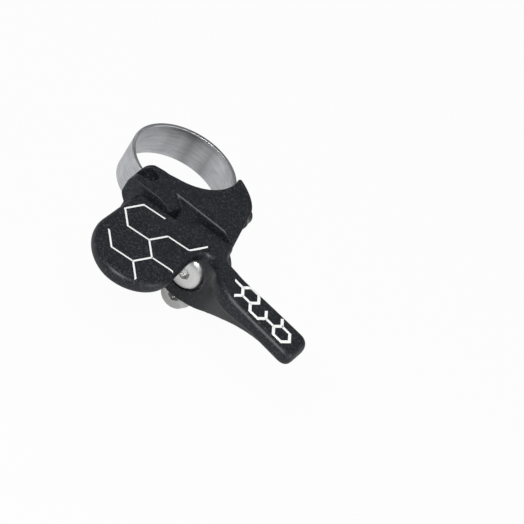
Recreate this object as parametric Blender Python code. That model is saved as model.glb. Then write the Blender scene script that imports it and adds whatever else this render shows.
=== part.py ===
"""Dropper post remote lever for a 22.2 mm handlebar.

Frame: the origin is on the handlebar's axis, halfway across the clamp band.
+Z runs along the handlebar, +X points to the lever's arm, and -Y points away from the bar, through
the bracket to the lever. The lever turns about an axis parallel to Y.
"""
import math

import bmesh
import bpy
from mathutils import Matrix, Vector

MM = 0.001
GAP = 0.3 * MM                       # clearance kept between two pieces that touch
CUT_MARGIN = 1.0 * MM                # how far a cutter reaches past the piece it cuts
FILLET_STEPS = 3

# Handlebar clamp
BAR_RADIUS = 11.1 * MM
BAND_THICKNESS = 0.8 * MM
BAND_WIDTH = 8.1 * MM
BAND_STEP_DEG = 4.5
BAND_HORN_DEG = 10.7                 # where the band leaves the bar for its tab
TAB_BEND_RADIUS = 1.2 * MM           # to the middle of the band's thickness
TAB_REACH = 2.7 * MM                 # past the clamp bolt's middle
EYE_X = 1.9 * MM
EYE_Y = -BAR_RADIUS - 2.4 * MM
EYE_WRAP_DEG = 270.0
THROAT_LEFT_X = EYE_X - 7.4 * MM      # the pocket that leads the band to its eye
THROAT_LOW_Y = EYE_Y + 2.6 * MM
THROAT_TOP_Y = -BAR_RADIUS + 2.6 * MM
THROAT_RIGHT_Y = -BAR_RADIUS + 1.6 * MM
HOOK_PIN_RADIUS = 0.8 * MM
HOOK_PIN_LENGTH = 11.0 * MM

# Bracket
BRACKET_WIDTH = 16.8 * MM
BRACKET_ROUND = 0.6 * MM
CRADLE_FLOOR = 4.4 * MM              # from the bar down to the bracket's bottom
BRACKET_BOTTOM_Y = -BAR_RADIUS - CRADLE_FLOOR
PIVOT_REACH = 5.5 * MM               # from the bar out to the pivot
CRADLE_START_DEG = 11.5
CRADLE_END_DEG = -75.0
SIDE_WALL = 7.3 * MM                 # from the bar out to the top of the bracket's side
SIDE_TOP_X = BAR_RADIUS + SIDE_WALL
SIDE_TOP_Y = -5.6 * MM
SIDE_LEAN = 2.4 * MM
SIDE_BOTTOM_X = SIDE_TOP_X + SIDE_LEAN
SHOULDER_PULL_Y = SIDE_TOP_Y + 3.2 * MM          # handle of the curve from the side to the horn
HORN_PULL_X = 4.4 * MM
HORN_PULL_DROP = 1.7 * MM
HORN_LIP_X = 0.7 * MM
HORN_LIP_Y = 0.25 * MM
FACET_START_X = SIDE_TOP_X - 0.9 * MM            # where the side facet leaves the bracket's flat face
FACET_DROP = 1.9 * MM
HEEL_BOTTOM_Y = BRACKET_BOTTOM_Y - 1.8 * MM
HEEL_LEFT_X = -3.8 * MM
HEEL_RIGHT_X = 3.4 * MM
HEEL_CHAMFER = 1.2 * MM
HEEL_CURL = 1.6 * MM

# Cable housing seat
SEAT_LEFT_X = -4.4 * MM
SEAT_SIDE_REACH = 9.0 * MM           # from the pivot back to the seat's right side
SEAT_RIGHT_X = BAR_RADIUS + PIVOT_REACH - SEAT_SIDE_REACH
SEAT_LOW_RIGHT_X = SEAT_RIGHT_X - 1.0 * MM
SEAT_SHOULDER_X = SEAT_LEFT_X + 1.2 * MM
SEAT_CREST_X = 0.4 * MM
SEAT_CREST_Y = -BAR_RADIUS - 0.5 * MM
SEAT_DROP = 1.4 * MM                 # from the bar down to the seat's top
SEAT_TOP_Y = -BAR_RADIUS - SEAT_DROP
SEAT_SHOULDER_DROP = 1.2 * MM
SEAT_BOTTOM_Y = SEAT_TOP_Y - 7.9 * MM
SEAT_BACK_Z = -2.5 * MM
SEAT_ROUND = 0.8 * MM
SEAT_RAMP_X = SEAT_RIGHT_X - 2.0 * MM
SEAT_RAMP_DROP = 2.6 * MM
SEAT_TOP_CHAMFER = 1.5 * MM
SEAT_UNDERCUT_Z = 3.65 * MM           # below this the seat's left wall slants inwards
HEEL_TOP_Y = SEAT_TOP_Y - 2.4 * MM
HOUSING_RADIUS = 2.15 * MM
HOUSING_TILT_DEG = 58.0
HOUSING_X = -2.6 * MM                # where the housing's axis meets the bracket's flat face
HOUSING_DROP = 3.3 * MM
HOUSING_Y = SEAT_TOP_Y - HOUSING_DROP
WIRE_TILT_DEG = 42.0
WIRE_SLOPE = 0.07                    # how fast the wire leaves the bracket's bottom, per X
HOUSING_DEPTH = 4.0 * MM
HOUSING_REACH = 6.0 * MM               # how far the bore's cutter starts outside
WIRE_HOLE_RADIUS = 0.9 * MM
WIRE_HOLE_REACH = 20.0 * MM

# Clamp bolt, along Y, and the barrel nut it pulls on, along Z
CLAMP_X = BAR_RADIUS + 3.8 * MM
CLAMP_SHANK_RADIUS = 1.5 * MM
CLAMP_HEAD_RADIUS = 2.4 * MM
CLAMP_HEAD_HEIGHT = 2.0 * MM
CLAMP_HEX_ACROSS = 2.5 * MM
CLAMP_HEX_DEPTH = 1.2 * MM
CLAMP_WASHER_RADIUS = 2.6 * MM
CLAMP_WASHER_THICKNESS = 0.5 * MM
CLAMP_SLOT_BOTTOM_Y = -0.9 * MM
CLAMP_SLOT_TOP_Y = 6.0 * MM
CLAMP_SLOT_LEFT_X = BAR_RADIUS - 2.0 * MM
CLAMP_HEAD_EDGE = 0.3 * MM
BARREL_NUT_RADIUS = 2.8 * MM
BARREL_NUT_LENGTH = 9.0 * MM
BARREL_NUT_Y = -6.4 * MM
CLAMP_BOLT_LENGTH = 11.4 * MM

# Pivot
PIVOT_X = BAR_RADIUS + PIVOT_REACH
PIVOT_Z = 0.0
PIVOT_SHANK_RADIUS = 1.7 * MM
PIVOT_THREAD_DEPTH = 4.6 * MM
PIVOT_HEAD_RADIUS = 4.1 * MM
PIVOT_HEAD_RIM = 0.6 * MM
PIVOT_HEAD_DOME = 1.6 * MM
PIVOT_HEX_ACROSS = 2.5 * MM
PIVOT_HEX_DEPTH = 1.5 * MM
PIVOT_CROWN_RADIUS = 1.75 * MM
PIVOT_TIP_CHAMFER = 0.4 * MM
SPACER_RADIUS = 2.7 * MM
BORE_RADIUS = 2.0 * MM

# Bearing, 4 mm bore and 9 mm outside
BEARING_OUTER_RADIUS = 4.5 * MM
BEARING_WIDTH = 3.4 * MM
BALL_RADIUS = 0.6 * MM
BALL_CIRCLE_RADIUS = 3.25 * MM
BALL_COUNT = 7
RACE_SHOULDER = 0.55 * MM            # from the ball circle to each race's shoulder
SHIELD_THICKNESS = 0.25 * MM
SHIELD_INNER_GAP = 0.2 * MM
SHIELD_OUTER_GAP = 0.15 * MM
CAGE_MARGIN = 0.35 * MM              # the cage's rim beside the ball pockets
CAGE_RACE_GAP = 0.25 * MM

# Return spring
SPRING_WIRE_RADIUS = 0.3 * MM
SPRING_RADIUS = 3.7 * MM
SPRING_TURNS = 1.75
SPRING_PITCH = 0.9 * MM
SPRING_LEG_DEPTH = 1.6 * MM
SPRING_LEG_REACH = 6.0 * MM
SPRING_POINTS_PER_TURN = 24

# Lever
HUB_RADIUS = 7.0 * MM
HUB_BACK_Y = BRACKET_BOTTOM_Y - 0.6 * MM
PIVOT_SEAT_DEPTH = 1.4 * MM           # of the bolt head's seat below the hub's face
SPRING_ROOM = 2.2 * MM                # from the bearing to the hub's back
HUB_FACE_Y = HUB_BACK_Y - SPRING_ROOM - BEARING_WIDTH - GAP - PIVOT_SEAT_DEPTH
FLANGE_THICKNESS = 3.4 * MM
PLATE_TOP_Z = 7.4 * MM
PLATE_BOTTOM_Z = PLATE_TOP_Z - 3.2 * MM
PLATE_ROUND = 1.3 * MM
ARM_CREST_REACH = 9.4 * MM           # from the pivot
ARM_CREST_X = PIVOT_X + ARM_CREST_REACH
ARM_CREST_RISE = 1.6 * MM
ARM_REACH = 29.6 * MM                # from the pivot
ARM_TIP_X = PIVOT_X + ARM_REACH
ARM_TIP_DROP = 1.3 * MM
ARM_TIP_BOTTOM_DROP = 1.6 * MM
ARM_DROP = 9.1 * MM                  # from the hub's face to the arm's front
ARM_FRONT_Y = HUB_FACE_Y - ARM_DROP
ARM_BACK_Y = ARM_FRONT_Y + 9.0 * MM
ARM_CORNER = 2.2 * MM
ARM_NECK_X = PIVOT_X + 12.0 * MM
PADDLE_SIDE_REACH = 17.5 * MM        # from the pivot back to the paddle's left side
PADDLE_LEFT_X = PIVOT_X - PADDLE_SIDE_REACH
PADDLE_BACK_Y = SEAT_BOTTOM_Y - 0.5 * MM
PADDLE_END_Y = PADDLE_BACK_Y - 26.7 * MM
PADDLE_LEFT_BEND_Y = PADDLE_END_Y + 11.9 * MM    # where the paddle's sides start to curve in
PADDLE_RIGHT_BEND_Y = PADDLE_END_Y + 9.9 * MM
PADDLE_WEB_X = SEAT_LOW_RIGHT_X - 1.0 * MM       # where the back edge leaves for the hub
PADDLE_RIGHT_REACH = 0.6 * MM        # past the pivot
PADDLE_RIGHT_X = PIVOT_X + PADDLE_RIGHT_REACH
PADDLE_FLARE = 0.55 * MM
PADDLE_END_X = PIVOT_X - 8.0 * MM
PADDLE_CORNER = 1.9 * MM

# Cable anchor, on the ear below the hub
ANCHOR_X = PIVOT_X - 0.3 * MM
ANCHOR_Z = PIVOT_Z - 9.5 * MM
ANCHOR_HEAD_Y = HUB_BACK_Y - 3.3 * MM
ANCHOR_HEAD_RADIUS = 3.2 * MM
ANCHOR_HEAD_HEIGHT = 1.4 * MM
ANCHOR_WASHER_RADIUS = 3.7 * MM
ANCHOR_WASHER_THICKNESS = 0.6 * MM
ANCHOR_SHANK_RADIUS = 1.7 * MM
ANCHOR_HEX_ACROSS = 2.5 * MM
ANCHOR_HEX_DEPTH = 1.0 * MM
ANCHOR_HEAD_EDGE = 0.25 * MM
EAR_RADIUS = 3.9 * MM
EAR_THICKNESS = 3.2 * MM
EAR_ROOT_Z = PIVOT_Z - 4.0 * MM
BOSS_RADIUS = 4.9 * MM
EAR_POCKET_LEFT_X = ANCHOR_X - EAR_RADIUS - 0.4 * MM
EAR_POCKET_TOP_Z = PIVOT_Z - 1.4 * MM

HALF_WIDTH = BRACKET_WIDTH / 2
TAB_END_X = CLAMP_X + TAB_REACH
TAB_Y = (BAR_RADIUS + BAND_THICKNESS / 2 + TAB_BEND_RADIUS) * math.sin(
    math.radians(BAND_HORN_DEG)) - TAB_BEND_RADIUS
BAND_SLOT_HALF = BAND_WIDTH / 2 + GAP
EYE_INNER_RADIUS = HOOK_PIN_RADIUS + GAP
EYE_OUTER_RADIUS = EYE_INNER_RADIUS + BAND_THICKNESS
CLAMP_WASHER_Y = TAB_Y + BAND_THICKNESS / 2 + GAP
CLAMP_HEAD_Y = CLAMP_WASHER_Y + CLAMP_WASHER_THICKNESS + GAP
PIVOT_SEAT_Y = HUB_FACE_Y + PIVOT_SEAT_DEPTH
BEARING_FRONT_Y = PIVOT_SEAT_Y + GAP
BEARING_BACK_Y = BEARING_FRONT_Y + BEARING_WIDTH
HUB_BORE_RADIUS = BEARING_OUTER_RADIUS + GAP
ANCHOR_WASHER_Y = ANCHOR_HEAD_Y + ANCHOR_HEAD_HEIGHT + GAP
EAR_FACE_Y = ANCHOR_WASHER_Y + ANCHOR_WASHER_THICKNESS + GAP
EAR_BACK_Y = EAR_FACE_Y + EAR_THICKNESS


def material(name, color, roughness, metallic):
    """Return a plain Principled material."""
    finish = bpy.data.materials.new(name)
    finish.use_nodes = True
    shader = finish.node_tree.nodes["Principled BSDF"]
    shader.inputs["Base Color"].default_value = (*color, 1.0)
    shader.inputs["Roughness"].default_value = roughness
    shader.inputs["Metallic"].default_value = metallic
    return finish


def finished(bm):
    """Merge doubled points and turn every face outwards."""
    bmesh.ops.remove_doubles(bm, verts=bm.verts, dist=1e-7)
    bmesh.ops.recalc_face_normals(bm, faces=bm.faces)
    return bm


def add_object(name, bm, finish=None, origin=(0.0, 0.0, 0.0), parent=None):
    """Make an object of a mesh that was built in place, with its origin where it is wanted."""
    finished(bm)
    bmesh.ops.translate(bm, verts=bm.verts, vec=-Vector(origin))
    mesh = bpy.data.meshes.new(name)
    bm.to_mesh(mesh)
    bm.free()
    mesh.shade_smooth()
    mesh.set_sharp_from_angle(angle=math.radians(35.0))
    part = bpy.data.objects.new(name, mesh)
    bpy.context.scene.collection.objects.link(part)
    part.location = origin
    if finish:
        mesh.materials.append(finish)
    if parent:
        part.parent = parent
        part.location = Vector(origin) - parent.location
    return part


def boolean(part, cutter, operation="DIFFERENCE"):
    """Cut an object with a guide solid, or join the guide solid to it."""
    cutter.hide_render = True
    cutter.display_type = "WIRE"
    step = part.modifiers.new(cutter.name, "BOOLEAN")
    step.operation = operation
    step.solver = "EXACT"
    step.object = cutter


def arc(center, radius, start_deg, end_deg, steps):
    """Points on an arc, both ends included."""
    turn = [math.radians(start_deg + (end_deg - start_deg) * i / steps) for i in range(steps + 1)]
    return [(center[0] + radius * math.cos(a), center[1] + radius * math.sin(a)) for a in turn]


def bezier(start, handle_a, handle_b, end, steps):
    """Points on a cubic curve, the start left out and the end included."""
    points = []
    for i in range(1, steps + 1):
        t = i / steps
        weights = ((1 - t) ** 3, 3 * t * (1 - t) ** 2, 3 * t * t * (1 - t), t ** 3)
        corners = (start, handle_a, handle_b, end)
        points.append(tuple(sum(w * c[k] for w, c in zip(weights, corners)) for k in (0, 1)))
    return points


def rounded_corners(corners, radius, steps=FILLET_STEPS):
    """Replace each corner of a closed outline by an arc-like curve that starts radius away."""
    points = []
    for i, corner in enumerate(corners):
        here = Vector(corner)
        before = (Vector(corners[i - 1]) - here).normalized()
        after = (Vector(corners[(i + 1) % len(corners)]) - here).normalized()
        start = here + before * radius
        end = here + after * radius
        points.append(tuple(start))
        points += bezier(start, here + before * radius * 0.45, here + after * radius * 0.45,
                         end, steps)
    return points


def offset_outline(outline, distance):
    """Move a closed counter-clockwise outline inwards by a distance."""
    moved = []
    count = len(outline)
    for i, point in enumerate(outline):
        before = Vector(point) - Vector(outline[i - 1])
        after = Vector(outline[(i + 1) % count]) - Vector(point)
        normal_a = Vector((-before.y, before.x)).normalized()
        normal_b = Vector((-after.y, after.x)).normalized()
        share = (normal_a + normal_b) / (1.0 + max(normal_a.dot(normal_b), -0.5))
        moved.append(tuple(Vector(point) + share * distance))
    return moved


def skin(rings):
    """Close a stack of rings, each with as many points, into a solid."""
    bm = bmesh.new()
    loops = [[bm.verts.new(point) for point in ring] for ring in rings]
    count = len(loops[0])
    for lower, upper in zip(loops, loops[1:]):
        for i in range(count):
            j = (i + 1) % count
            bm.faces.new((lower[i], lower[j], upper[j], upper[i]))
    bm.faces.new(list(reversed(loops[0])))
    bm.faces.new(loops[-1])
    return bm


def plate(outline, bottom, top, rounding=0.0, steps=FILLET_STEPS):
    """A plate with an outline in XY between two heights, its edges rounded."""
    if rounding <= 0.0:
        return skin([[(x, y, z) for x, y in outline] for z in (bottom, top)])
    rings = []
    for i in range(steps + 1):
        turn = math.radians(90.0 * i / steps)
        inset = offset_outline(outline, rounding * (1.0 - math.sin(turn)))
        height = bottom + rounding * (1.0 - math.cos(turn))
        rings.append([(x, y, height) for x, y in inset])
    for i in range(steps, -1, -1):
        turn = math.radians(90.0 * i / steps)
        inset = offset_outline(outline, rounding * (1.0 - math.sin(turn)))
        height = top - rounding * (1.0 - math.cos(turn))
        rings.append([(x, y, height) for x, y in inset])
    return skin(rings)


def turned(profile, x, z, steps=32):
    """Spin a profile of (radius, y) points about an axis parallel to Y. The profile is a closed loop,
    or starts and ends on the axis."""
    bm = bmesh.new()
    points = [bm.verts.new((x + radius, y, z)) for radius, y in profile]
    edges = [bm.edges.new(pair) for pair in zip(points, points[1:])]
    if profile[0][0] > 0.0 and profile[-1][0] > 0.0:
        edges.append(bm.edges.new((points[-1], points[0])))
    bmesh.ops.spin(bm, geom=points + edges, cent=(x, 0.0, z), axis=(0.0, 1.0, 0.0),
                   angle=math.tau, steps=steps, use_merge=True)
    return bm


def ring_profile(inner, outer, low, high):
    """The closed profile of a plain collar or washer."""
    return [(inner, low), (outer, low), (outer, high), (inner, high)]


def rod(radius, start, end, sides=32):
    """A plain round bar between two points."""
    start = Vector(start)
    end = Vector(end)
    bm = bmesh.new()
    turn = Vector((0.0, 0.0, 1.0)).rotation_difference(end - start).to_matrix().to_4x4()
    place = Matrix.Translation((start + end) / 2) @ turn
    bmesh.ops.create_cone(bm, cap_ends=True, segments=sides, radius1=radius, radius2=radius,
                          depth=(end - start).length, matrix=place)
    return bm


def block(low, high):
    """A box between two corners."""
    low = Vector(low)
    high = Vector(high)
    bm = bmesh.new()
    bmesh.ops.create_cube(bm, size=1.0)
    bmesh.ops.scale(bm, vec=high - low, verts=bm.verts)
    bmesh.ops.translate(bm, vec=(low + high) / 2, verts=bm.verts)
    return bm


def hex_socket(across, x, z, start_y, end_y):
    """The solid of a hexagon key's end, along Y."""
    return rod(across / math.sqrt(3.0), (x, start_y, z), (x, end_y, z), 6)


def cut_plane(bm, point, normal):
    """Take away what lies on the normal's side of a plane, and close the cut."""
    geometry = bm.verts[:] + bm.edges[:] + bm.faces[:]
    cut = bmesh.ops.bisect_plane(bm, geom=geometry, dist=1e-8, plane_co=point, plane_no=normal,
                                 clear_outer=True)
    rim = [item for item in cut["geom_cut"] if isinstance(item, bmesh.types.BMEdge)]
    bmesh.ops.contextual_create(bm, geom=rim)


def band_route():
    """The middle line of the band in XY: around the hook pin, over the bar and out along the tab."""
    middle = BAR_RADIUS + BAND_THICKNESS / 2
    eye_middle = EYE_INNER_RADIUS + BAND_THICKNESS / 2
    reach = math.hypot(EYE_X, EYE_Y)
    toward_eye = math.degrees(math.atan2(EYE_Y, EYE_X)) % 360.0
    leave = toward_eye - math.degrees(math.acos((middle + eye_middle) / reach))
    eye_start = leave - 180.0
    eye_steps = round(EYE_WRAP_DEG / 30.0)
    route = arc((EYE_X, EYE_Y), eye_middle, eye_start - EYE_WRAP_DEG, eye_start, eye_steps)
    steps = round((leave - BAND_HORN_DEG) / BAND_STEP_DEG)
    route += arc((0.0, 0.0), middle, leave, BAND_HORN_DEG, steps)
    bend = middle + TAB_BEND_RADIUS
    horn = math.radians(BAND_HORN_DEG)
    center = (bend * math.cos(horn), bend * math.sin(horn))
    route += arc(center, TAB_BEND_RADIUS, 180.0 + BAND_HORN_DEG, 270.0, 4)[1:]
    route.append((TAB_END_X, TAB_Y))
    return route


def thick_line(route, thickness):
    """The outline of a strip of even thickness along a route."""
    sides = ([], [])
    for i, point in enumerate(route):
        before = Vector(route[max(i - 1, 0)])
        after = Vector(route[min(i + 1, len(route) - 1)])
        here = Vector(point)
        ahead = (after - here).normalized() if after != here else (here - before).normalized()
        behind = (here - before).normalized() if before != here else ahead
        normal_a = Vector((-ahead.y, ahead.x))
        normal_b = Vector((-behind.y, behind.x))
        share = (normal_a + normal_b) / (1.0 + normal_a.dot(normal_b)) * thickness / 2
        sides[0].append(tuple(here + share))
        sides[1].append(tuple(here - share))
    return sides[0] + sides[1][::-1]


def make_clamp(steel, dark_steel):
    """The band with its eye and tab, the hook pin, and the clamp bolt with its washer and nut."""
    outline = thick_line(band_route(), BAND_THICKNESS)
    band = add_object("clamp_band", plate(outline, -BAND_WIDTH / 2, BAND_WIDTH / 2), steel)
    hole_radius = CLAMP_SHANK_RADIUS + GAP
    hole = rod(hole_radius, (CLAMP_X, TAB_Y - 2 * BAND_THICKNESS, 0.0),
               (CLAMP_X, TAB_Y + 2 * BAND_THICKNESS, 0.0))
    boolean(band, add_object("tab_hole", hole))

    half_pin = HOOK_PIN_LENGTH / 2
    pin = rod(HOOK_PIN_RADIUS, (EYE_X, EYE_Y, -half_pin), (EYE_X, EYE_Y, half_pin), 20)
    add_object("band_hook_pin", pin, dark_steel, (EYE_X, EYE_Y, 0.0))

    washer = ring_profile(hole_radius, CLAMP_WASHER_RADIUS, CLAMP_WASHER_Y,
                          CLAMP_WASHER_Y + CLAMP_WASHER_THICKNESS)
    add_object("clamp_washer", turned(washer, CLAMP_X, 0.0), steel, (CLAMP_X, CLAMP_WASHER_Y, 0.0))

    top = CLAMP_HEAD_Y + CLAMP_HEAD_HEIGHT
    edge = CLAMP_HEAD_EDGE
    tip = CLAMP_HEAD_Y - CLAMP_BOLT_LENGTH
    profile = [(0.0, top), (CLAMP_HEAD_RADIUS - edge, top), (CLAMP_HEAD_RADIUS, top - edge),
               (CLAMP_HEAD_RADIUS, CLAMP_HEAD_Y), (CLAMP_SHANK_RADIUS, CLAMP_HEAD_Y),
               (CLAMP_SHANK_RADIUS, tip + edge), (CLAMP_SHANK_RADIUS - edge, tip), (0.0, tip)]
    bolt = add_object("clamp_bolt", turned(profile, CLAMP_X, 0.0), dark_steel,
                      (CLAMP_X, CLAMP_HEAD_Y, 0.0))
    socket = hex_socket(CLAMP_HEX_ACROSS, CLAMP_X, 0.0, top - CLAMP_HEX_DEPTH, top + CUT_MARGIN)
    boolean(bolt, add_object("clamp_socket", socket))

    half_nut = BARREL_NUT_LENGTH / 2
    nut = rod(BARREL_NUT_RADIUS, (CLAMP_X, BARREL_NUT_Y, -half_nut), (CLAMP_X, BARREL_NUT_Y, half_nut))
    nut = add_object("clamp_barrel_nut", nut, steel, (CLAMP_X, BARREL_NUT_Y, 0.0))
    nut_hole = rod(hole_radius, (CLAMP_X, BARREL_NUT_Y - 2 * BARREL_NUT_RADIUS, 0.0),
                   (CLAMP_X, BARREL_NUT_Y + 2 * BARREL_NUT_RADIUS, 0.0))
    boolean(nut, add_object("barrel_nut_hole", nut_hole))


def bracket_outline():
    """The bracket's outline in XY, counter-clockwise: side, horn, cradle, heel and bottom."""
    horn_x = BAR_RADIUS * math.cos(math.radians(CRADLE_START_DEG))
    horn_y = BAR_RADIUS * math.sin(math.radians(CRADLE_START_DEG))
    cradle = arc((0.0, 0.0), BAR_RADIUS, CRADLE_START_DEG, CRADLE_END_DEG, 16)
    leave = Vector(cradle[-1])
    along = Vector((math.sin(math.radians(CRADLE_END_DEG)), -math.cos(math.radians(CRADLE_END_DEG))))
    side_top = (SIDE_TOP_X, SIDE_TOP_Y)
    heel_top = (HEEL_LEFT_X, HEEL_TOP_Y)
    outline = [(SIDE_BOTTOM_X, BRACKET_BOTTOM_Y), side_top]
    outline += bezier(side_top, (SIDE_TOP_X - 0.3 * MM, SHOULDER_PULL_Y),
                      (horn_x + HORN_PULL_X, horn_y - HORN_PULL_DROP),
                      (horn_x + HORN_LIP_X, horn_y + HORN_LIP_Y), 8)
    outline += cradle
    outline += bezier(leave, leave + along * 3.0 * MM, (HEEL_LEFT_X + 1.4 * MM, SEAT_TOP_Y - 0.3 * MM),
                      heel_top, 6)
    outline += bezier(heel_top, (HEEL_LEFT_X, HEEL_BOTTOM_Y), (HEEL_LEFT_X, HEEL_BOTTOM_Y),
                      (HEEL_LEFT_X + HEEL_CURL, HEEL_BOTTOM_Y), 4)
    outline += [(HEEL_RIGHT_X - HEEL_CHAMFER, HEEL_BOTTOM_Y), (HEEL_RIGHT_X, BRACKET_BOTTOM_Y)]
    return outline


def housing_axis(depth):
    """A point on the cable housing's axis, at a depth below the bracket's flat face."""
    tilt = math.radians(HOUSING_TILT_DEG)
    return Vector((HOUSING_X + depth * math.cos(tilt), HOUSING_Y, HALF_WIDTH - depth * math.sin(tilt)))


def wire_axis(reach):
    """A point on the wire's axis, at a distance past the end of the housing."""
    tilt = math.radians(WIRE_TILT_DEG)
    along = Vector((math.cos(tilt), -WIRE_SLOPE * math.cos(tilt), -math.sin(tilt)))
    return housing_axis(HOUSING_DEPTH - CUT_MARGIN) + reach * along


def wedge(corners):
    """A cutter for the housing seat, with an outline in XZ, that runs along Y past both its ends."""
    return skin([[(x, y, z) for x, z in corners]
                 for y in (SEAT_BOTTOM_Y - CUT_MARGIN, SEAT_TOP_Y + CUT_MARGIN)])


def make_bracket(coat):
    """The black block: cradle, heel, cable housing seat and pivot boss."""
    body = plate(bracket_outline(), -HALF_WIDTH, HALF_WIDTH, BRACKET_ROUND, 2)
    facet = Vector((FACET_DROP, 0.0, SIDE_BOTTOM_X - FACET_START_X)).normalized()
    for side in (1.0, -1.0):
        normal = (facet.x, 0.0, facet.z * side)
        cut_plane(body, (FACET_START_X, 0.0, HALF_WIDTH * side), normal)
    bracket = add_object("bracket", body, coat)

    corners = [(SEAT_LEFT_X, SEAT_TOP_Y - SEAT_SHOULDER_DROP), (SEAT_LEFT_X, SEAT_BOTTOM_Y),
               (SEAT_LOW_RIGHT_X, SEAT_BOTTOM_Y), (SEAT_RIGHT_X, BRACKET_BOTTOM_Y + CUT_MARGIN),
               (SEAT_CREST_X, SEAT_CREST_Y), (SEAT_SHOULDER_X, SEAT_TOP_Y)]
    seat = plate(rounded_corners(corners, SEAT_ROUND), SEAT_BACK_Z, HALF_WIDTH, BRACKET_ROUND, 2)
    ramp = Vector((SEAT_RAMP_DROP, 0.0, SEAT_RIGHT_X - SEAT_RAMP_X)).normalized()
    cut_plane(seat, (SEAT_RAMP_X, 0.0, HALF_WIDTH), ramp)
    seat = add_object("housing_seat", seat)
    reach = SEAT_UNDERCUT_Z - SEAT_BACK_Z + CUT_MARGIN
    left = SEAT_LEFT_X - CUT_MARGIN
    undercut = [(left, SEAT_UNDERCUT_Z + CUT_MARGIN), (left, SEAT_UNDERCUT_Z - reach),
                (SEAT_LEFT_X + reach, SEAT_UNDERCUT_Z - reach)]
    boolean(seat, add_object("seat_undercut", wedge(undercut)))
    boolean(bracket, seat, "UNION")
    top = HALF_WIDTH + CUT_MARGIN
    chamfer = [(left, HALF_WIDTH - SEAT_TOP_CHAMFER - CUT_MARGIN),
               (SEAT_LEFT_X + SEAT_TOP_CHAMFER + CUT_MARGIN, top), (left, top)]
    boolean(bracket, add_object("seat_chamfer", wedge(chamfer)))

    housing = rod(HOUSING_RADIUS, housing_axis(-HOUSING_REACH), housing_axis(HOUSING_DEPTH), 28)
    boolean(bracket, add_object("housing_bore", housing))
    wire = rod(WIRE_HOLE_RADIUS, wire_axis(0.0), wire_axis(WIRE_HOLE_REACH), 16)
    boolean(bracket, add_object("wire_hole", wire))

    throat = [(THROAT_LEFT_X, THROAT_LOW_Y), (EYE_X - EYE_OUTER_RADIUS, EYE_Y + 3 * GAP),
              (EYE_X - EYE_OUTER_RADIUS - GAP, EYE_Y)]
    throat += arc((EYE_X, EYE_Y), EYE_OUTER_RADIUS + GAP, 195.0, 360.0, 9)
    throat += [(EYE_X + EYE_OUTER_RADIUS + GAP, THROAT_RIGHT_Y), (THROAT_LEFT_X, THROAT_TOP_Y)]
    boolean(bracket, add_object("band_eye_pocket", plate(throat, -BAND_SLOT_HALF, BAND_SLOT_HALF)))

    slot = block((CLAMP_SLOT_LEFT_X, CLAMP_SLOT_BOTTOM_Y, -BAND_SLOT_HALF),
                 (SIDE_BOTTOM_X + CUT_MARGIN, CLAMP_SLOT_TOP_Y, BAND_SLOT_HALF))
    boolean(bracket, add_object("clamp_slot", slot))

    pin_bore = rod(HOOK_PIN_RADIUS + GAP, (EYE_X, EYE_Y, -HALF_WIDTH - CUT_MARGIN),
                   (EYE_X, EYE_Y, HOOK_PIN_LENGTH / 2 + GAP), 20)
    boolean(bracket, add_object("hook_pin_bore", pin_bore))
    nut_bore = rod(BARREL_NUT_RADIUS + GAP, (CLAMP_X, BARREL_NUT_Y, -HALF_WIDTH - CUT_MARGIN),
                   (CLAMP_X, BARREL_NUT_Y, BARREL_NUT_LENGTH / 2 + GAP))
    boolean(bracket, add_object("barrel_nut_bore", nut_bore))
    bolt_bore = rod(CLAMP_SHANK_RADIUS + GAP, (CLAMP_X, CLAMP_HEAD_Y, 0.0),
                    (CLAMP_X, CLAMP_HEAD_Y - CLAMP_BOLT_LENGTH - GAP, 0.0))
    boolean(bracket, add_object("clamp_bolt_bore", bolt_bore))

    thread = rod(BORE_RADIUS, (PIVOT_X, BRACKET_BOTTOM_Y - CUT_MARGIN, PIVOT_Z),
                 (PIVOT_X, BRACKET_BOTTOM_Y + PIVOT_THREAD_DEPTH + GAP, PIVOT_Z))
    boolean(bracket, add_object("pivot_thread", thread))
    leg = rod(2 * SPRING_WIRE_RADIUS, (PIVOT_X, BRACKET_BOTTOM_Y - CUT_MARGIN, PIVOT_Z + SPRING_RADIUS),
              (PIVOT_X, BRACKET_BOTTOM_Y + SPRING_LEG_DEPTH + GAP, PIVOT_Z + SPRING_RADIUS), 12)
    boolean(bracket, add_object("spring_leg_hole", leg))

    ear_room = block((EAR_POCKET_LEFT_X, BRACKET_BOTTOM_Y - CUT_MARGIN, -HALF_WIDTH - CUT_MARGIN),
                     (SIDE_BOTTOM_X + CUT_MARGIN, EAR_BACK_Y + GAP, EAR_POCKET_TOP_Z))
    ear_room = add_object("ear_pocket", ear_room)
    boss = rod(BOSS_RADIUS, (PIVOT_X, BRACKET_BOTTOM_Y - 2 * CUT_MARGIN, PIVOT_Z),
               (PIVOT_X, EAR_BACK_Y + 2 * CUT_MARGIN, PIVOT_Z))
    boolean(ear_room, add_object("pivot_boss", boss))
    boolean(bracket, ear_room)


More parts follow.
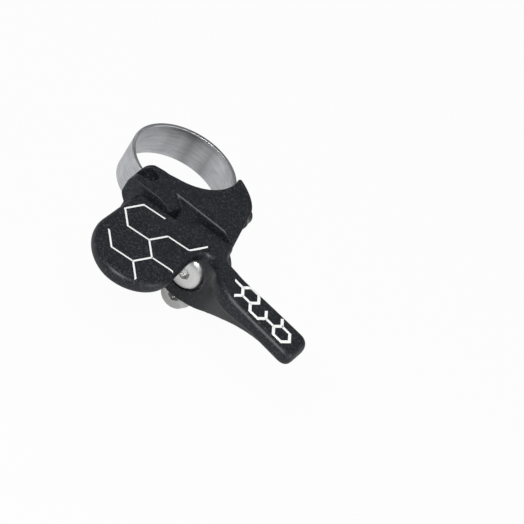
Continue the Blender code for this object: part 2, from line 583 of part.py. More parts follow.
def lever_outline():
    """The lever's outline in XY, counter-clockwise: paddle, notch over the bolt, arm and back edge."""
    left = PADDLE_LEFT_X
    right = PADDLE_RIGHT_X
    end_left = left - PADDLE_FLARE
    end_right = right + PADDLE_FLARE
    tip = PADDLE_END_Y
    outline = [(left, PADDLE_BACK_Y - PADDLE_CORNER), (end_left, PADDLE_LEFT_BEND_Y)]
    low = (PADDLE_END_X, tip)
    side = (end_right, PADDLE_RIGHT_BEND_Y)
    outline += bezier(outline[-1], (end_left, tip + 5.8 * MM), (low[0] - 4.9 * MM, tip), low, 8)
    outline += bezier(low, (low[0] + 5.2 * MM, tip), (end_right, tip + 4.5 * MM), side, 7)
    notch_start = (right, HUB_FACE_Y - 5.0 * MM)
    notch_top = (PIVOT_X + 2.8 * MM, HUB_FACE_Y - 0.5 * MM)
    notch_end = (PIVOT_X + 9.9 * MM, ARM_FRONT_Y + 1.1 * MM)
    front = (PIVOT_X + 15.4 * MM, ARM_FRONT_Y)
    outline.append(notch_start)
    outline += bezier(notch_start, (right, notch_top[1] - 1.2 * MM),
                      (notch_top[0] - 1.6 * MM, notch_top[1]), notch_top, 5)
    outline += bezier(notch_top, (notch_top[0] + 2.8 * MM, notch_top[1]),
                      (notch_end[0] - 3.9 * MM, notch_end[1] + 2.0 * MM), notch_end, 7)
    outline += bezier(notch_end, (notch_end[0] + 2.0 * MM, notch_end[1] - 1.0 * MM),
                      (front[0] - 2.4 * MM, ARM_FRONT_Y), front, 4)
    corner = ARM_CORNER
    outline += arc((ARM_TIP_X - corner, ARM_FRONT_Y + corner), corner, -90.0, 0.0, 4)
    outline += arc((ARM_TIP_X - corner, ARM_BACK_Y - corner), corner, 0.0, 90.0, 4)
    neck_end = (ARM_NECK_X, ARM_BACK_Y - 0.5 * MM)
    neck = (PIVOT_X + 4.9 * MM, HUB_BACK_Y - 2.0 * MM)
    outline.append(neck_end)
    outline += bezier(neck_end, (neck_end[0] - 4.4 * MM, neck_end[1]),
                      (neck[0] + 0.8 * MM, neck[1] - 4.0 * MM), neck, 7)
    outline += bezier(neck, (neck[0] - 0.2 * MM, HUB_BACK_Y), (neck[0] - 0.2 * MM, HUB_BACK_Y),
                      (neck[0] - 1.8 * MM, HUB_BACK_Y), 3)
    shoulder = (PIVOT_X - 3.9 * MM, HUB_BACK_Y)
    web = (PADDLE_WEB_X, PADDLE_BACK_Y)
    outline.append(shoulder)
    outline += bezier(shoulder, (shoulder[0] - MM, HUB_BACK_Y),
                      (web[0] + 5.2 * MM, PADDLE_BACK_Y), web, 7)
    corner_start = (left + PADDLE_CORNER, PADDLE_BACK_Y)
    outline.append(corner_start)
    outline += bezier(corner_start, (left + 0.8 * MM, PADDLE_BACK_Y), (left, PADDLE_BACK_Y - 0.8 * MM),
                      (left, PADDLE_BACK_Y - PADDLE_CORNER), 4)[:-1]
    return outline


def smooth_share(value, low, high):
    """A soft step from 0 at low to 1 at high."""
    share = min(max((value - low) / (high - low), 0.0), 1.0)
    return share * share * (3.0 - 2.0 * share)


def arm_rise(x, tip_drop):
    """How far the arm's surface lies above the paddle's, at an X along the lever."""
    rise = ARM_CREST_RISE * smooth_share(x, PIVOT_X + MM, ARM_CREST_X)
    fall = max(x - ARM_CREST_X, 0.0) / (ARM_TIP_X - ARM_CREST_X)
    return rise - (ARM_CREST_RISE + tip_drop) * fall


def lever_plate():
    """The lever's one continuous top: paddle, bridge over the hub, and arm."""
    bm = finished(plate(lever_outline(), PLATE_BOTTOM_Z, PLATE_TOP_Z, PLATE_ROUND))
    middle = (PLATE_BOTTOM_Z + PLATE_TOP_Z) / 2
    start = PIVOT_X + MM
    stations = [start + (ARM_CREST_X - start) * i / 4 for i in range(5)]
    stations += [ARM_CREST_X + (ARM_TIP_X - ARM_CREST_X) * i / 3 for i in (1, 2)]
    for x in stations:
        bmesh.ops.bisect_plane(bm, geom=bm.verts[:] + bm.edges[:] + bm.faces[:], dist=1e-7,
                               plane_co=(x, 0.0, 0.0), plane_no=(1.0, 0.0, 0.0))
    for vert in bm.verts:
        if vert.co.z > middle:
            vert.co.z += arm_rise(vert.co.x, ARM_TIP_DROP)
        else:
            vert.co.z += min(arm_rise(vert.co.x, ARM_TIP_BOTTOM_DROP), 0.0)
    return bm


def gusset():
    """The web that blends the hub's flange into the arm's front and underside."""
    back = HUB_FACE_Y + FLANGE_THICKNESS
    front = ARM_FRONT_Y + 0.25 * MM
    behind = ARM_BACK_Y - 1.0 * MM
    under = PLATE_TOP_Z - MM
    # Each section: X from the pivot, then (Y, Z) of the lower back, lower front, upper front, upper back
    sections = [
        (1.0, (back, -6.95 * MM), (HUB_FACE_Y, -6.95 * MM), (HUB_FACE_Y, under), (HUB_BACK_Y - MM, under)),
        (4.6, (back, -6.4 * MM), (HUB_FACE_Y, -6.4 * MM), (HUB_FACE_Y - 1.8 * MM, under),
         (HUB_FACE_Y + 4.0 * MM, under)),
        (7.8, (back - 0.4 * MM, -5.0 * MM), (HUB_FACE_Y - 0.3 * MM, -5.0 * MM),
         (HUB_FACE_Y - 6.0 * MM, under + 0.5 * MM), (HUB_FACE_Y - 0.9 * MM, under + 0.5 * MM)),
        (11.9, (back - 2.4 * MM, -1.8 * MM), (HUB_FACE_Y - 2.9 * MM, -1.8 * MM),
         (front + 0.3 * MM, under + 0.9 * MM), (behind, under + 0.9 * MM)),
        (15.9, (behind + 0.9 * MM, 1.3 * MM), (HUB_FACE_Y - 5.8 * MM, 1.3 * MM),
         (front, under + 0.4 * MM), (behind, under + 0.4 * MM)),
        (19.9, (behind, 3.1 * MM), (ARM_FRONT_Y + 1.6 * MM, 3.1 * MM), (front, under - 0.2 * MM),
         (behind, under - 0.2 * MM)),
        (24.0, (behind, 3.6 * MM), (ARM_FRONT_Y + 1.3 * MM, 3.6 * MM),
         (ARM_FRONT_Y + 0.9 * MM, under - 1.2 * MM), (behind, under - 1.2 * MM)),
    ]
    rings = []
    for reach, *corners in sections:
        x = PIVOT_X + reach * MM
        rings.append([(x, y, z) for y, z in rounded_corners(corners, 0.8 * MM, 2)])
    return skin(rings)


def ear():
    """The ear below the hub that carries the cable anchor."""
    outline = arc((ANCHOR_X, ANCHOR_Z), EAR_RADIUS, 180.0, 360.0, 12)
    outline += [(ANCHOR_X + EAR_RADIUS, EAR_ROOT_Z), (ANCHOR_X - EAR_RADIUS, EAR_ROOT_Z)]
    return skin([[(x, y, z) for x, z in outline] for y in (EAR_FACE_Y, EAR_BACK_Y)])


def make_lever(coat, pivot):
    """The one-piece lever, with its bores."""
    lever = add_object("lever", lever_plate(), coat, pivot.location, pivot)
    hub = rod(HUB_RADIUS, (PIVOT_X, HUB_FACE_Y, PIVOT_Z), (PIVOT_X, HUB_BACK_Y, PIVOT_Z), 40)
    boolean(lever, add_object("hub", hub), "UNION")
    boolean(lever, add_object("arm_gusset", gusset()), "UNION")

    ear_body = add_object("anchor_ear", ear())
    boss_room = rod(BOSS_RADIUS + GAP, (PIVOT_X, HUB_BACK_Y, PIVOT_Z),
                    (PIVOT_X, EAR_BACK_Y + CUT_MARGIN, PIVOT_Z))
    boolean(ear_body, add_object("boss_clearance", boss_room))
    boolean(lever, ear_body, "UNION")

    clearance = ANCHOR_WASHER_RADIUS + GAP
    spotface = rod(clearance, (ANCHOR_X, ANCHOR_HEAD_Y - GAP, ANCHOR_Z), (ANCHOR_X, EAR_FACE_Y, ANCHOR_Z))
    boolean(lever, add_object("anchor_spotface", spotface))
    anchor_bore = rod(ANCHOR_SHANK_RADIUS + GAP, (ANCHOR_X, EAR_FACE_Y - CUT_MARGIN, ANCHOR_Z),
                      (ANCHOR_X, EAR_BACK_Y + CUT_MARGIN, ANCHOR_Z), 24)
    boolean(lever, add_object("anchor_bore", anchor_bore))

    bore = rod(HUB_BORE_RADIUS, (PIVOT_X, BEARING_FRONT_Y - GAP / 2, PIVOT_Z),
               (PIVOT_X, HUB_BACK_Y + CUT_MARGIN, PIVOT_Z))
    boolean(lever, add_object("bearing_bore", bore))
    counterbore = rod(PIVOT_HEAD_RADIUS + GAP, (PIVOT_X, HUB_FACE_Y - CUT_MARGIN, PIVOT_Z),
                      (PIVOT_X, BEARING_FRONT_Y, PIVOT_Z), 36)
    boolean(lever, add_object("head_counterbore", counterbore))
    half = 2 * SPRING_WIRE_RADIUS
    notch = block((PIVOT_X - SPRING_LEG_REACH - GAP, spring_end_y() - half, PIVOT_Z - half),
                  (PIVOT_X - SPRING_RADIUS, HUB_BACK_Y + CUT_MARGIN, PIVOT_Z + half))
    boolean(lever, add_object("spring_notch", notch))


def make_pivot(steel, dark_steel, pivot):
    """The pivot bolt, its spacer and the sealed bearing."""
    dome_y = PIVOT_SEAT_Y - PIVOT_HEAD_RIM - PIVOT_HEAD_DOME
    tip = BRACKET_BOTTOM_Y + PIVOT_THREAD_DEPTH
    edge = PIVOT_TIP_CHAMFER
    dome = []
    for i in range(5):
        turn = math.radians(90.0 * i / 5)
        width = PIVOT_CROWN_RADIUS + (PIVOT_HEAD_RADIUS - PIVOT_CROWN_RADIUS) * math.sin(turn)
        dome.append((width, dome_y + PIVOT_HEAD_DOME * (1.0 - math.cos(turn))))
    profile = [(0.0, dome_y)] + dome + [
        (PIVOT_HEAD_RADIUS, PIVOT_SEAT_Y - PIVOT_HEAD_RIM), (PIVOT_HEAD_RADIUS, PIVOT_SEAT_Y),
        (PIVOT_SHANK_RADIUS, PIVOT_SEAT_Y), (PIVOT_SHANK_RADIUS, tip - edge),
        (PIVOT_SHANK_RADIUS - edge, tip), (0.0, tip)]
    bolt = add_object("pivot_bolt", turned(profile, PIVOT_X, PIVOT_Z, 36), steel,
                      (PIVOT_X, PIVOT_SEAT_Y, PIVOT_Z))
    socket = hex_socket(PIVOT_HEX_ACROSS, PIVOT_X, PIVOT_Z, dome_y - CUT_MARGIN, dome_y + PIVOT_HEX_DEPTH)
    boolean(bolt, add_object("pivot_socket", socket))

    spacer = ring_profile(BORE_RADIUS, SPACER_RADIUS, BEARING_BACK_Y + GAP, BRACKET_BOTTOM_Y - GAP)
    add_object("pivot_spacer", turned(spacer, PIVOT_X, PIVOT_Z), steel, pivot.location)

    make_races(steel, pivot)
    make_ball_set(steel, dark_steel, pivot)


def groove(outwards):
    """The ball groove's arc in a race, as (radius, y) points from the bearing's front to its back."""
    middle = (BEARING_FRONT_Y + BEARING_BACK_Y) / 2
    radius = BALL_RADIUS + GAP
    reach = math.degrees(math.acos(RACE_SHOULDER / radius))
    side = 0.0 if outwards else 180.0
    turn = reach if outwards else -reach
    return arc((BALL_CIRCLE_RADIUS, middle), radius, side - turn, side + turn, 8)


def make_races(steel, pivot):
    """The bearing's two races and its shields."""
    front = BEARING_FRONT_Y
    back = BEARING_BACK_Y
    inner_shoulder = BALL_CIRCLE_RADIUS - RACE_SHOULDER
    outer_shoulder = BALL_CIRCLE_RADIUS + RACE_SHOULDER
    inner = [(BORE_RADIUS, front), (inner_shoulder, front)] + groove(False)
    inner += [(inner_shoulder, back), (BORE_RADIUS, back)]
    add_object("bearing_inner_race", turned(inner, PIVOT_X, PIVOT_Z), steel, pivot.location)
    outer = [(BEARING_OUTER_RADIUS, front), (outer_shoulder, front)] + groove(True)
    outer += [(outer_shoulder, back), (BEARING_OUTER_RADIUS, back)]
    add_object("bearing_outer_race", turned(outer, PIVOT_X, PIVOT_Z), steel, pivot.location, pivot)

    shield_low = inner_shoulder + SHIELD_INNER_GAP
    shield_high = outer_shoulder - SHIELD_OUTER_GAP
    for name, low in (("bearing_shield_front", front), ("bearing_shield_back", back - SHIELD_THICKNESS)):
        shield = ring_profile(shield_low, shield_high, low, low + SHIELD_THICKNESS)
        add_object(name, turned(shield, PIVOT_X, PIVOT_Z), steel, pivot.location, pivot)


def make_ball_set(steel, dark_steel, pivot):
    """The bearing's balls and the cage that spaces them."""
    middle = (BEARING_FRONT_Y + BEARING_BACK_Y) / 2
    half = BALL_RADIUS + GAP + CAGE_MARGIN
    width = RACE_SHOULDER - CAGE_RACE_GAP
    cage = ring_profile(BALL_CIRCLE_RADIUS - width, BALL_CIRCLE_RADIUS + width, middle - half, middle + half)
    cage = add_object("bearing_cage", turned(cage, PIVOT_X, PIVOT_Z, 42), dark_steel,
                      pivot.location, pivot)
    pockets = bmesh.new()
    for i in range(BALL_COUNT):
        turn = math.tau * i / BALL_COUNT
        center = Vector((PIVOT_X + BALL_CIRCLE_RADIUS * math.cos(turn), middle,
                         PIVOT_Z + BALL_CIRCLE_RADIUS * math.sin(turn)))
        ball = bmesh.new()
        bmesh.ops.create_uvsphere(ball, u_segments=12, v_segments=8, radius=BALL_RADIUS,
                                  matrix=Matrix.Translation(center))
        add_object(f"bearing_ball_{i + 1}", ball, steel, center, pivot)
        bmesh.ops.create_uvsphere(pockets, u_segments=16, v_segments=10, radius=BALL_RADIUS + GAP,
                                  matrix=Matrix.Translation(center))
    boolean(cage, add_object("ball_pockets", pockets))


def spring_start_y():
    """Where the spring's first turn starts, next to the bracket."""
    return BRACKET_BOTTOM_Y - GAP - 1.5 * SPRING_WIRE_RADIUS


def spring_end_y():
    """Where the spring's last turn ends, next to the bearing."""
    return spring_start_y() - SPRING_TURNS * SPRING_PITCH


def make_spring(steel):
    """The torsion spring: a leg in the bracket, the coil, and a leg in the lever's hub."""
    start = spring_start_y()
    route = [(SPRING_RADIUS, BRACKET_BOTTOM_Y + SPRING_LEG_DEPTH, 90.0),
             (SPRING_RADIUS, start + 2 * SPRING_WIRE_RADIUS, 90.0)]
    steps = round(SPRING_TURNS * SPRING_POINTS_PER_TURN)
    for i in range(1, steps + 1):
        share = i / steps
        route.append((SPRING_RADIUS, start - share * SPRING_TURNS * SPRING_PITCH,
                      90.0 - share * SPRING_TURNS * 360.0))
    route.append((SPRING_LEG_REACH, spring_end_y(), route[-1][2]))
    curve = bpy.data.curves.new("return_spring", "CURVE")
    curve.dimensions = "3D"
    curve.bevel_depth = SPRING_WIRE_RADIUS
    curve.bevel_resolution = 1
    curve.use_fill_caps = True
    spline = curve.splines.new("POLY")
    spline.points.add(len(route) - 1)
    for point, (radius, y, turn) in zip(spline.points, route):
        angle = math.radians(turn)
        point.co = (radius * math.cos(angle), y, radius * math.sin(angle), 1.0)
    curve.materials.append(steel)
    spring = bpy.data.objects.new("return_spring", curve)
    spring.location = (PIVOT_X, 0.0, PIVOT_Z)
    bpy.context.scene.collection.objects.link(spring)


def make_anchor(steel, pivot):
    """The screw and washer that hold the cable's wire on the lever's ear."""
    washer = ring_profile(ANCHOR_SHANK_RADIUS + GAP, ANCHOR_WASHER_RADIUS, ANCHOR_WASHER_Y,
                          ANCHOR_WASHER_Y + ANCHOR_WASHER_THICKNESS)
    place = (ANCHOR_X, ANCHOR_WASHER_Y, ANCHOR_Z)
    add_object("cable_anchor_washer", turned(washer, ANCHOR_X, ANCHOR_Z), steel, place, pivot)
    edge = ANCHOR_HEAD_EDGE
    under = ANCHOR_HEAD_Y + ANCHOR_HEAD_HEIGHT
    tip = EAR_BACK_Y - GAP
    profile = [(0.0, ANCHOR_HEAD_Y), (ANCHOR_HEAD_RADIUS - edge, ANCHOR_HEAD_Y),
               (ANCHOR_HEAD_RADIUS, ANCHOR_HEAD_Y + edge), (ANCHOR_HEAD_RADIUS, under),
               (ANCHOR_SHANK_RADIUS, under), (ANCHOR_SHANK_RADIUS, tip), (0.0, tip)]
    screw = add_object("cable_anchor_screw", turned(profile, ANCHOR_X, ANCHOR_Z), steel,
                       (ANCHOR_X, under, ANCHOR_Z), pivot)
    socket = hex_socket(ANCHOR_HEX_ACROSS, ANCHOR_X, ANCHOR_Z, ANCHOR_HEAD_Y - CUT_MARGIN,
                        ANCHOR_HEAD_Y + ANCHOR_HEX_DEPTH)
    boolean(screw, add_object("anchor_socket", socket))


def main():
    """Build the whole part."""
    for old in list(bpy.data.objects):
        bpy.data.objects.remove(old, do_unlink=True)
    coat = material("black_powder_coat", (0.022, 0.023, 0.027), 0.55, 0.0)
    band_steel = material("brushed_steel", (0.52, 0.52, 0.5), 0.35, 1.0)
    bolt_steel = material("satin_steel", (0.62, 0.62, 0.61), 0.3, 1.0)
    dark_steel = material("black_oxide_steel", (0.03, 0.03, 0.032), 0.4, 1.0)

    pivot = bpy.data.objects.new("lever_pivot", None)
    pivot.location = (PIVOT_X, (HUB_BACK_Y + HUB_FACE_Y) / 2, PIVOT_Z)
    bpy.context.scene.collection.objects.link(pivot)

    make_clamp(band_steel, dark_steel)
    make_bracket(coat)
    make_lever(coat, pivot)
    make_pivot(bolt_steel, dark_steel, pivot)
    make_spring(bolt_steel)
    make_anchor(bolt_steel, pivot)


main()
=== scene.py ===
"""Looks of a dropper post remote lever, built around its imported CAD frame.

A piece is built in millimetres and scaled to metres when it is placed, apart from the spring, which
is a copy of the CAD one. The origin is on the handlebar's axis, halfway across the clamp band. +Z
runs along the bar, +X points to the lever's arm and -Y leads away from the bar, through the bracket
to the lever.
"""
import logging
import math
from dataclasses import dataclass, field
from enum import Enum
from typing import Sequence

import bmesh
import bpy
from bmesh.types import BMesh, BMVert
from mathutils import Matrix, Vector
from mathutils.geometry import interpolate_bezier


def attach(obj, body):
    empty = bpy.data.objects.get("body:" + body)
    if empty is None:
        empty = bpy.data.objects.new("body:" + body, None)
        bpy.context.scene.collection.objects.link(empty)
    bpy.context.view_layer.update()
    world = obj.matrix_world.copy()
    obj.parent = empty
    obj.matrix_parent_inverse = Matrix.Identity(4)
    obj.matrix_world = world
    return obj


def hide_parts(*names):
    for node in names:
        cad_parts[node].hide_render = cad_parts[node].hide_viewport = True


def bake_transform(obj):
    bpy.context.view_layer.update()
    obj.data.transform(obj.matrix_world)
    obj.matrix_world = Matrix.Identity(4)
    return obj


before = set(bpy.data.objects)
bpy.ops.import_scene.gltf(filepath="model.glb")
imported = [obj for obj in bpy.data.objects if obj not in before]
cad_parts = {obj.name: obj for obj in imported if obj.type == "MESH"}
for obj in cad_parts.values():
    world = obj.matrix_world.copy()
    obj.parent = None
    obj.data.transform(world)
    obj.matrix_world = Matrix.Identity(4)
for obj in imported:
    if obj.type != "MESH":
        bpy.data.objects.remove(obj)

LOG = logging.getLogger("remote_lever")
METRES = 0.001                 # one millimetre
CUT_MARGIN = 1.0               # how far a cutter reaches past the piece it cuts
GAP = 0.3                      # clearance between two pieces
SHARP_ANGLE = math.radians(32.0)
LATHE_STEPS = 96               # how many faces a turned piece has around
WHITE = (1.0, 1.0, 1.0, 1.0)
Point = tuple[float, float]
Range = tuple[float, float]
Color = tuple[float, float, float]


class Body(Enum):
    """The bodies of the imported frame."""

    BRACKET = "bracket"
    LEVER = "lever"
    BALL_SET = "ball_set"


class Slot(Enum):
    """The record's material slots."""

    COAT = "black_coat"
    BAND = "brushed_band"
    SATIN = "satin_steel"
    DARK = "dark_steel"


class Shading(Enum):
    """How a piece's faces are shaded."""

    CAST = "cast"              # smooth all over
    TURNED = "turned"          # smooth, with sharp edges kept


# Finishes


def configure(item: object, settings: dict) -> None:
    """Set an item's properties by their names."""
    for name, value in settings.items():
        setattr(item, name, value)


class Recipe:
    """A material's node tree, built one node at a time."""

    def __init__(self, name: str) -> None:
        """Start a material that has only its shader.

        Args:
            name: The material's name.
        """
        self.material = bpy.data.materials.new(name)
        self.material.use_nodes = True
        self.tree = self.material.node_tree
        self.shader = self.tree.nodes["Principled BSDF"]

    def fill(self, node: bpy.types.Node, inputs: dict) -> None:
        """Set or link a node's sockets.

        Args:
            node: The node.
            inputs: A value or an output socket for each socket's name or number.
        """
        for key, value in inputs.items():
            if isinstance(value, bpy.types.NodeSocket):
                self.tree.links.new(value, node.inputs[key])
            else:
                node.inputs[key].default_value = value

    def add(self, kind: str, inputs: dict, **settings: object) -> bpy.types.Node:
        """Add a node.

        Args:
            kind: The node's type name.
            inputs: A value or an output socket for each socket's name or number.
            settings: The node's own properties.

        Returns:
            The new node.
        """
        node = self.tree.nodes.new(kind)
        configure(node, settings)
        self.fill(node, inputs)
        return node

    def math(self, operation: str, first: object, second: object = 0.0) -> bpy.types.NodeSocket:
        """Add a Math node and return its result."""
        return self.add("ShaderNodeMath", {0: first, 1: second}, operation=operation).outputs[0]

    def place(self, centre: Sequence[float] = (0.0, 0.0, 0.0)) -> bpy.types.NodeSocket:
        """Object coordinates in millimetres.

        Args:
            centre: The point, in millimetres, that becomes the origin.

        Returns:
            The vector socket.
        """
        coordinates = self.add("ShaderNodeTexCoord", {})
        shift = [-value for value in centre]
        scale = (1.0 / METRES,) * 3
        inputs = {"Vector": coordinates.outputs["Object"], "Location": shift, "Scale": scale}
        return self.add("ShaderNodeMapping", inputs).outputs[0]

    def noise(self, vector: object, scale: float, detail: float = 3.0,
              roughness: float = 0.55) -> bpy.types.NodeSocket:
        """Add a noise texture and return its value.

        Args:
            vector: The coordinates' socket.
            scale: Features per unit of the coordinates.
            detail: Octaves.
            roughness: How strong the finer octaves are.

        Returns:
            The socket of the value, from 0 to 1.
        """
        inputs = {"Vector": vector, "Scale": scale, "Detail": detail, "Roughness": roughness}
        return self.add("ShaderNodeTexNoise", inputs).outputs[0]

    def span(self, value: object, low: float, high: float, start: float,
             end: float) -> bpy.types.NodeSocket:
        """Map a value from low..high to start..end, held at both ends."""
        inputs = {"Value": value, "From Min": low, "From Max": high, "To Min": start, "To Max": end}
        return self.add("ShaderNodeMapRange", inputs, clamp=True).outputs[0]

    def mix(self, factor: object, first: object, second: object) -> bpy.types.NodeSocket:
        """Mix two colours.

        Args:
            factor: The share of the second colour.
            first: A colour or its socket.
            second: A colour or its socket.

        Returns:
            The colour's socket.
        """
        colours = [(*item, 1.0) if isinstance(item, tuple) else item for item in (first, second)]
        inputs = {0: factor, 6: colours[0], 7: colours[1]}
        return self.add("ShaderNodeMix", inputs, data_type="RGBA").outputs[2]

    def tint(self, value: object, first: Color, second: Color) -> bpy.types.NodeSocket:
        """Mix two colours by the middle range of a noise."""
        return self.mix(self.span(value, 0.36, 0.64, 0.0, 1.0), first, second)

    def weigh(self, first: object, second: object, share: float) -> bpy.types.NodeSocket:
        """Add two values, the second weighted with share and the first with the rest."""
        rest = self.math("MULTIPLY", first, 1.0 - share)
        return self.math("ADD", rest, self.math("MULTIPLY", second, share))

    def bump(self, height: object, depth: float, strength: float,
             normal: object = None) -> bpy.types.NodeSocket:
        """Add a bump node.

        Args:
            height: The height's socket, from 0 to 1.
            depth: What a height of 1 stands for, in millimetres.
            strength: The share of it that is used.
            normal: An earlier bump's normal.

        Returns:
            The normal's socket.
        """
        inputs = {"Height": height, "Strength": strength, "Distance": depth * METRES}
        if normal is not None:
            inputs["Normal"] = normal
        return self.add("ShaderNodeBump", inputs).outputs[0]

    def around(self, vector: object, axis: str, rows: float, stretch: float) -> bpy.types.NodeSocket:
        """Coordinates in which a noise becomes fine grooves around an axis.

        Args:
            vector: Coordinates in millimetres, centred on the axis.
            axis: "Y" or "Z".
            rows: Grooves per millimetre.
            stretch: How fast the pattern changes along a groove, per radian.

        Returns:
            The vector socket.
        """
        parts = self.add("ShaderNodeSeparateXYZ", {0: vector}).outputs
        across, along = (parts[1], parts[2]) if axis == "Z" else (parts[2], parts[1])
        squares = [self.math("MULTIPLY", side, side) for side in (parts[0], across)]
        radius = self.math("SQRT", self.math("ADD", *squares))
        turn = self.math("ARCTAN2", across, parts[0])
        rounds = [self.math("MULTIPLY", self.math(kind, turn), stretch) for kind in ("COSINE", "SINE")]
        depth = self.math("MULTIPLY", self.math("ADD", radius, along), rows)
        return self.add("ShaderNodeCombineXYZ", {0: rounds[0], 1: rounds[1], 2: depth}).outputs[0]

    def complete(self, colour: object, rough: object, normal: object, metallic: float = 1.0,
                 others: dict | None = None) -> bpy.types.Material:
        """Fill the shader's sockets.

        Args:
            colour: The base colour.
            rough: The roughness.
            normal: The normal's socket.
            metallic: 1 for bare metal, 0 for a coat.
            others: A value or an output socket for each further socket's name.

        Returns:
            The finished material.
        """
        inputs = {"Base Color": colour, "Roughness": rough, "Normal": normal, "Metallic": metallic}
        self.fill(self.shader, inputs | (others or {}))
        return self.material


@dataclass(frozen=True)
class PowderCoat:
    """Fine matt black powder coat, with its grain and lighter edges, partly wear and partly a painted
    highlight.
    """

    name: str = "black_powder_coat"
    deep: Color = (0.0070, 0.0080, 0.0112)
    pale: Color = (0.055, 0.058, 0.068)
    # Lighter bluish colour of sharp edges: partly edge wear, partly a painted highlight of the lamps on
    # rounded edges.
    edge: Color = (0.105, 0.112, 0.128)
    grain: float = 2.9
    grain_depth: float = 0.02
    roughness: float = 0.42
    gloss: float = 0.38

    def make(self) -> bpy.types.Material:
        """Build the material.

        Returns:
            The material.
        """
        recipe = Recipe(self.name)
        place = recipe.place()
        cloud = recipe.noise(place, 0.22, 3.0)
        speck = recipe.noise(place, self.grain, 1.0, 0.6)
        fleck = recipe.span(speck, 0.52, 0.72, 0.0, 1.0)
        ground = recipe.mix(recipe.span(cloud, 0.3, 0.7, 0.0, 0.08), self.deep, self.pale)
        flecked = recipe.mix(recipe.math("MULTIPLY", fleck, 0.9), ground, self.pale)
        # Painted highlight, partly edge wear: sharp convex edges, found by pointiness, are lightened towards
        # the edge colour in place of the lamps' soft highlights.
        point = recipe.add("ShaderNodeNewGeometry", {}).outputs["Pointiness"]
        edge_wear_and_highlight = recipe.math("MULTIPLY", recipe.span(point, 0.56, 0.70, 0.0, 0.8),
                             recipe.span(cloud, 0.35, 0.6, 0.5, 1.0))
        colour = recipe.mix(edge_wear_and_highlight, flecked, self.edge)
        skin = recipe.noise(place, self.grain, 3.0, 0.6)
        fine = recipe.bump(skin, self.grain_depth, 0.8)
        flow = recipe.bump(recipe.noise(place, 0.5, 1.0), 0.05, 0.4, fine)
        rough = recipe.span(speck, 0.25, 0.75, self.roughness - 0.08, self.roughness + 0.1)
        return recipe.complete(colour, rough, flow, 0.0, {"Specular IOR Level": self.gloss})


@dataclass(frozen=True)
class BrushedBand:
    """Bare sheet metal, brushed around the handlebar's axis, with painted shade bands.

    A painted shade band is a darker stripe across the ring that stands in for the brushed metal's dark
    reflections. It is given by its middle and its half width around the ring, in degrees.
    """

    name: str = "brushed_band"
    bright: Color = (0.92, 0.93, 0.95)
    dull: Color = (0.52, 0.53, 0.55)
    shade: Color = (0.30, 0.31, 0.32)
    rows: float = 5.0
    # Painted shade: the middle and half width, in degrees, of each darker stripe that stands in for the
    # ring's dark reflections.
    painted_shade_bands: Sequence[Range] = ((107.0, 11.0), (83.0, 9.0))

    def make(self) -> bpy.types.Material:
        """Build the material.

        Returns:
            The material.
        """
        recipe = Recipe(self.name)
        place = recipe.place()
        strokes = recipe.noise(recipe.around(place, "Z", self.rows, 2.5), 1.0, 5.0, 0.7)
        hairs = recipe.noise(recipe.around(place, "Z", self.rows * 3.2, 5.0), 1.0, 3.0, 0.6)
        cloud = recipe.noise(place, 0.25, 3.0)
        colour = recipe.tint(recipe.weigh(strokes, cloud, 0.3), self.dull, self.bright)
        parts = recipe.add("ShaderNodeSeparateXYZ", {0: place}).outputs
        turn = recipe.math("ARCTAN2", parts[1], parts[0])
        # Painted shade: darken the colour towards the shade colour in stripes at the given angles, in place
        # of the brushed metal's dark reflections.
        for middle, width in self.painted_shade_bands:
            away = recipe.math("ABSOLUTE", recipe.math("SUBTRACT", turn, math.radians(middle)))
            dimmed = recipe.span(away, 0.0, math.radians(width), 0.6, 0.0)
            colour = recipe.mix(recipe.math("MULTIPLY", dimmed, recipe.span(cloud, 0.3, 0.6, 0.6, 1.0)),
                                colour, self.shade)
        broad = recipe.bump(strokes, 0.03, 0.7)
        fine = recipe.bump(hairs, 0.012, 0.7, broad)
        rough = recipe.span(strokes, 0.3, 0.7, 0.28, 0.44)
        along = recipe.add("ShaderNodeVectorMath", {0: (0.0, 0.0, 1.0), 1: place}, operation="CROSS_PRODUCT")
        others = {"Anisotropic": 0.75, "Tangent": along.outputs[0]}
        return recipe.complete(colour, rough, fine, others=others)


@dataclass(frozen=True)
class TurnedSteel:
    """Steel with fine lathe marks around an axis parallel to Y."""

    name: str
    axis: Point
    bright: Color
    dull: Color
    roughness: float
    rows: float = 4.0

    def make(self) -> bpy.types.Material:
        """Build the material.

        Returns:
            The material.
        """
        recipe = Recipe(self.name)
        place = recipe.place((self.axis[0], 0.0, self.axis[1]))
        marks = recipe.noise(recipe.around(place, "Y", self.rows, 0.8), 1.0, 4.0, 0.6)
        stain = recipe.noise(place, 0.6, 4.0, 0.6)
        colour = recipe.tint(recipe.weigh(marks, stain, 0.55), self.dull, self.bright)
        rough = recipe.span(stain, 0.3, 0.7, self.roughness - 0.06, self.roughness + 0.1)
        return recipe.complete(colour, rough, recipe.bump(marks, 0.012, 0.6))


@dataclass(frozen=True)
class DrawnSteel:
    """Steel of small parts: wire, pins, balls and races, with faint stains."""

    name: str
    bright: Color = (0.62, 0.62, 0.61)
    dull: Color = (0.42, 0.42, 0.41)
    roughness: float = 0.3

    def make(self) -> bpy.types.Material:
        """Build the material.

        Returns:
            The material.
        """
        recipe = Recipe(self.name)
        place = recipe.place()
        stain = recipe.noise(place, 0.9, 4.0, 0.6)
        grit = recipe.noise(place, 6.0, 3.0, 0.6)
        colour = recipe.tint(stain, self.dull, self.bright)
        rough = recipe.span(grit, 0.3, 0.7, self.roughness - 0.07, self.roughness + 0.1)
        return recipe.complete(colour, rough, recipe.bump(grit, 0.01, 0.5))


